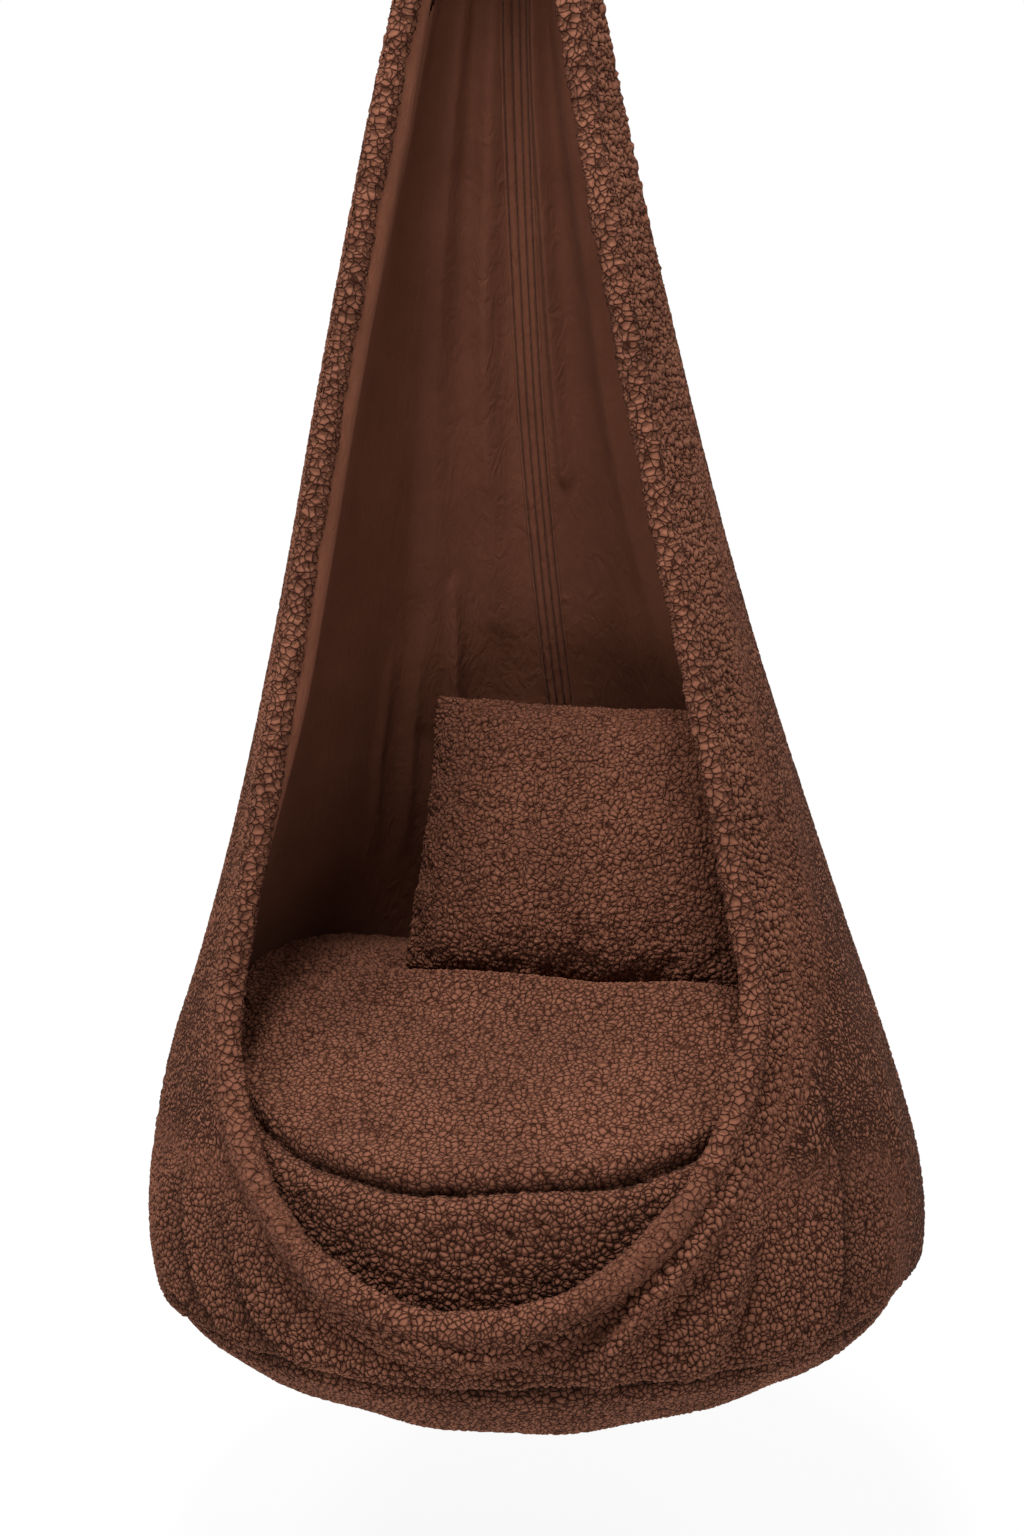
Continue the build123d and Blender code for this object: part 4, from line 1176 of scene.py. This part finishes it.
def build_sling():
    """Webbing loop from inside the neck, up through the cap and over the bar of the ring."""
    up = [(-SLING_BEND, SLING_FOOT + (SLING_TOP - SLING_FOOT) * k / 30) for k in range(31)]
    angles = [math.pi * k / 16 for k in range(1, 16)]
    over = [(-SLING_BEND * math.cos(a), SLING_TOP + SLING_BEND * math.sin(a)) for a in angles]
    down = [(SLING_BEND, h) for _, h in reversed(up)]
    path = np.array(up + over + down)
    lead = unit(np.gradient(path, axis=0))
    edge = np.linspace(-SLING_HALF, SLING_HALF, 15)
    thin = SLING_THICK * (1 - (np.abs(edge) / 0.0202) ** 10)
    loop = list(zip(edge, thin)) + list(zip(edge[::-1], -thin[::-1]))
    points = []
    for (y, h), (ty, th) in zip(path, lead):
        points += [(x, y - th * z, h + ty * z) for x, z in loop]
    world = placed(*np.array(points).T)
    sling = mesh_object("sling_webbing", world, grid_faces(len(path), len(loop), wrap_cols=True), WEBBING)
    at = np.arange(1.572, 1.628, 0.0036)
    face = SLING_BEND + 0.0017
    rows = [(np.full(len(at), x), np.full(len(at), y), at) for x in (-0.0165, 0.0165) for y in (-face, face)]
    x, y, h = (np.concatenate(part) for part in zip(*rows))
    sewn = stitches("sling_stitches", placed(x, y, h), placed(x, y, h + 0.0026), 0.0005)
    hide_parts("hanging_sling")


# The straps' runs: angle from the front, top and shift aside
LONG_RUNS = [(math.pi, STRAP_TOP, 0.0), (0.0, 0.140, 0.0)]
CROSS_RUNS = [(math.pi / 2, STRAP_TOP, 0.008), (-math.pi / 2, STRAP_TOP, -0.008)]

build_wall()
build_roll()
build_lining()
build_base("base_cloth", "base_panel", 0.0, FLEECE, BASE_PILE)
build_base("base_lining_cloth", "base_lining", LINING_DEPTH, LINING, 0.0)
build_facing()
build_tape()
build_strap("long_strap", "load_strap_long", LONG_RUNS, STRAP_DEPTH, (0.030, 2.40))
build_strap("cross_strap", "load_strap_cross", CROSS_RUNS, CROSS_DEPTH, (0.030, 3.90))
build_seat()
build_pillow()
build_cap()
build_sling()

# Finishes of the nodes that are shown as they are
FINISHES = [
    (STEEL, ["hook_body", "hook_gate", "hook_pin", "hanging_ring"]),
    (STEEL, ["swivel_lower_eye", "swivel_upper_eye", "swivel_housing", "swivel_balls"]),
    (ZIP_TAPE, ["seat_zip", "pillow_zip"]),
    (ZIP_METAL, ["seat_zip_slider", "pillow_zip_slider"]),
]
for finish, names in FINISHES:
    for name in names:
        NODES[name].data.materials.clear()
        NODES[name].data.materials.append(finish)

# Camera, fitted to the photograph: focal length and height of the picture in its pixels
SENSOR = 36.0
FOCAL_PIXELS = 3394
PICTURE_PIXELS = 1536


def look_from(azimuth, distance, height, pitch, aside, roll):
    a = math.radians(azimuth)
    right = Vector((math.cos(a), math.sin(a), 0))
    data = bpy.data.cameras.new("camera")
    data.sensor_fit = "AUTO"
    data.sensor_width = SENSOR
    data.lens = SENSOR * FOCAL_PIXELS / PICTURE_PIXELS
    camera = bpy.data.objects.new("camera", data)
    turn = Matrix.Rotation(a, 4, "Z") @ Matrix.Rotation(math.radians(90 - pitch), 4, "X")
    camera.rotation_euler = (turn @ Matrix.Rotation(math.radians(roll), 4, "Z")).to_euler()
    camera.location = Vector((math.sin(a) * distance, -math.cos(a) * distance, height - HANG)) + aside * right
    scene.collection.objects.link(camera)
    scene.camera = camera


look_from(azimuth=11.0, distance=3.21, height=1.25, pitch=11.76, aside=-0.0085, roll=-1.1)

# Lamps: name, place, height aimed at on the axis, diameter and watts
LAMPS = [
    ("key", (-1.7, -1.6, 1.8), -1.35, 1.1, 85),
    ("right", (2.3, -1.1, 1.2), -1.3, 1.4, 32),
    ("top", (0.1, -1.6, 2.3), -1.45, 0.9, 150),
    ("back", (0.6, 2.8, 1.4), -1.2, 2.0, 45),
]
for name, spot, aim, size, power in LAMPS:
    data = bpy.data.lights.new(name, "AREA")
    data.shape = "DISK"
    data.size = size
    data.energy = power
    lamp = bpy.data.objects.new(name, data)
    lamp.location = spot
    lamp.rotation_euler = (Vector((0, 0, aim)) - Vector(spot)).to_track_quat("-Z", "Y").to_euler()
    scene.collection.objects.link(lamp)


# World: white where it is seen or mirrored, and a weaker light elsewhere
WORLD_LIGHT = 0.24


def build_world():
    world = bpy.data.worlds.new("studio")
    scene.world = world
    world.use_nodes = True
    sky = world.node_tree
    path = sky.nodes.new("ShaderNodeLightPath")
    shown = sums(sky, "MAXIMUM", path.outputs["Is Glossy Ray"], path.outputs["Is Transmission Ray"])
    shown = sums(sky, "MAXIMUM", path.outputs["Is Camera Ray"], shown)
    strength = sums(sky, "MULTIPLY_ADD", shown, 1 - WORLD_LIGHT, WORLD_LIGHT)
    feed(sky, sky.nodes["Background"], {"Strength": strength, "Color": (1, 1, 1, 1)})


# Floor under the pod: its gap, its radius, and how white it is shown near the pod
FLOOR_GAP = 0.25
STAGE_RADIUS = 9
STAGE_WHITE = 0.92


def build_floor():
    mat, tree, shader = material("floor")
    grain = add(tree, "ShaderNodeTexNoise", {"Scale": 3.0}).outputs["Fac"]
    toned = ramped(tree, grain, [(0.0, (0.94, 0.94, 0.94)), (1.0, (0.96, 0.96, 0.96))])
    feed(tree, shader, {"Base Color": toned, "Roughness": 0.9})
    path = tree.nodes.new("ShaderNodeLightPath")
    white = add(tree, "ShaderNodeEmission", {"Color": (1, 1, 1, 1), "Strength": 1.0}).outputs[0]
    inputs = {0: object_place(tree)}
    away = add(tree, "ShaderNodeVectorMath", inputs, operation="LENGTH").outputs["Value"]
    near = ranged(tree, away, 1.2, 2.4, STAGE_WHITE, 1.0)
    share = sums(tree, "MULTIPLY", near, path.outputs["Is Camera Ray"])
    both = add(tree, "ShaderNodeMixShader", {0: share, 1: shader.outputs[0], 2: white}).outputs[0]
    tree.links.new(both, tree.nodes["Material Output"].inputs["Surface"])
    mesh = bpy.data.meshes.new("floor")
    angles = [k * math.pi / 32 for k in range(64)]
    ring = [(STAGE_RADIUS * math.cos(a), STAGE_RADIUS * math.sin(a), 0) for a in angles]
    mesh.from_pydata(ring, [], [list(range(64))])
    mesh.materials.append(mat)
    floor = bpy.data.objects.new("floor", mesh)
    floor.location = (0, 0, -HANG - FLOOR_GAP)
    scene.collection.objects.link(floor)


build_world()
build_floor()

scene.view_settings.view_transform = "Standard"
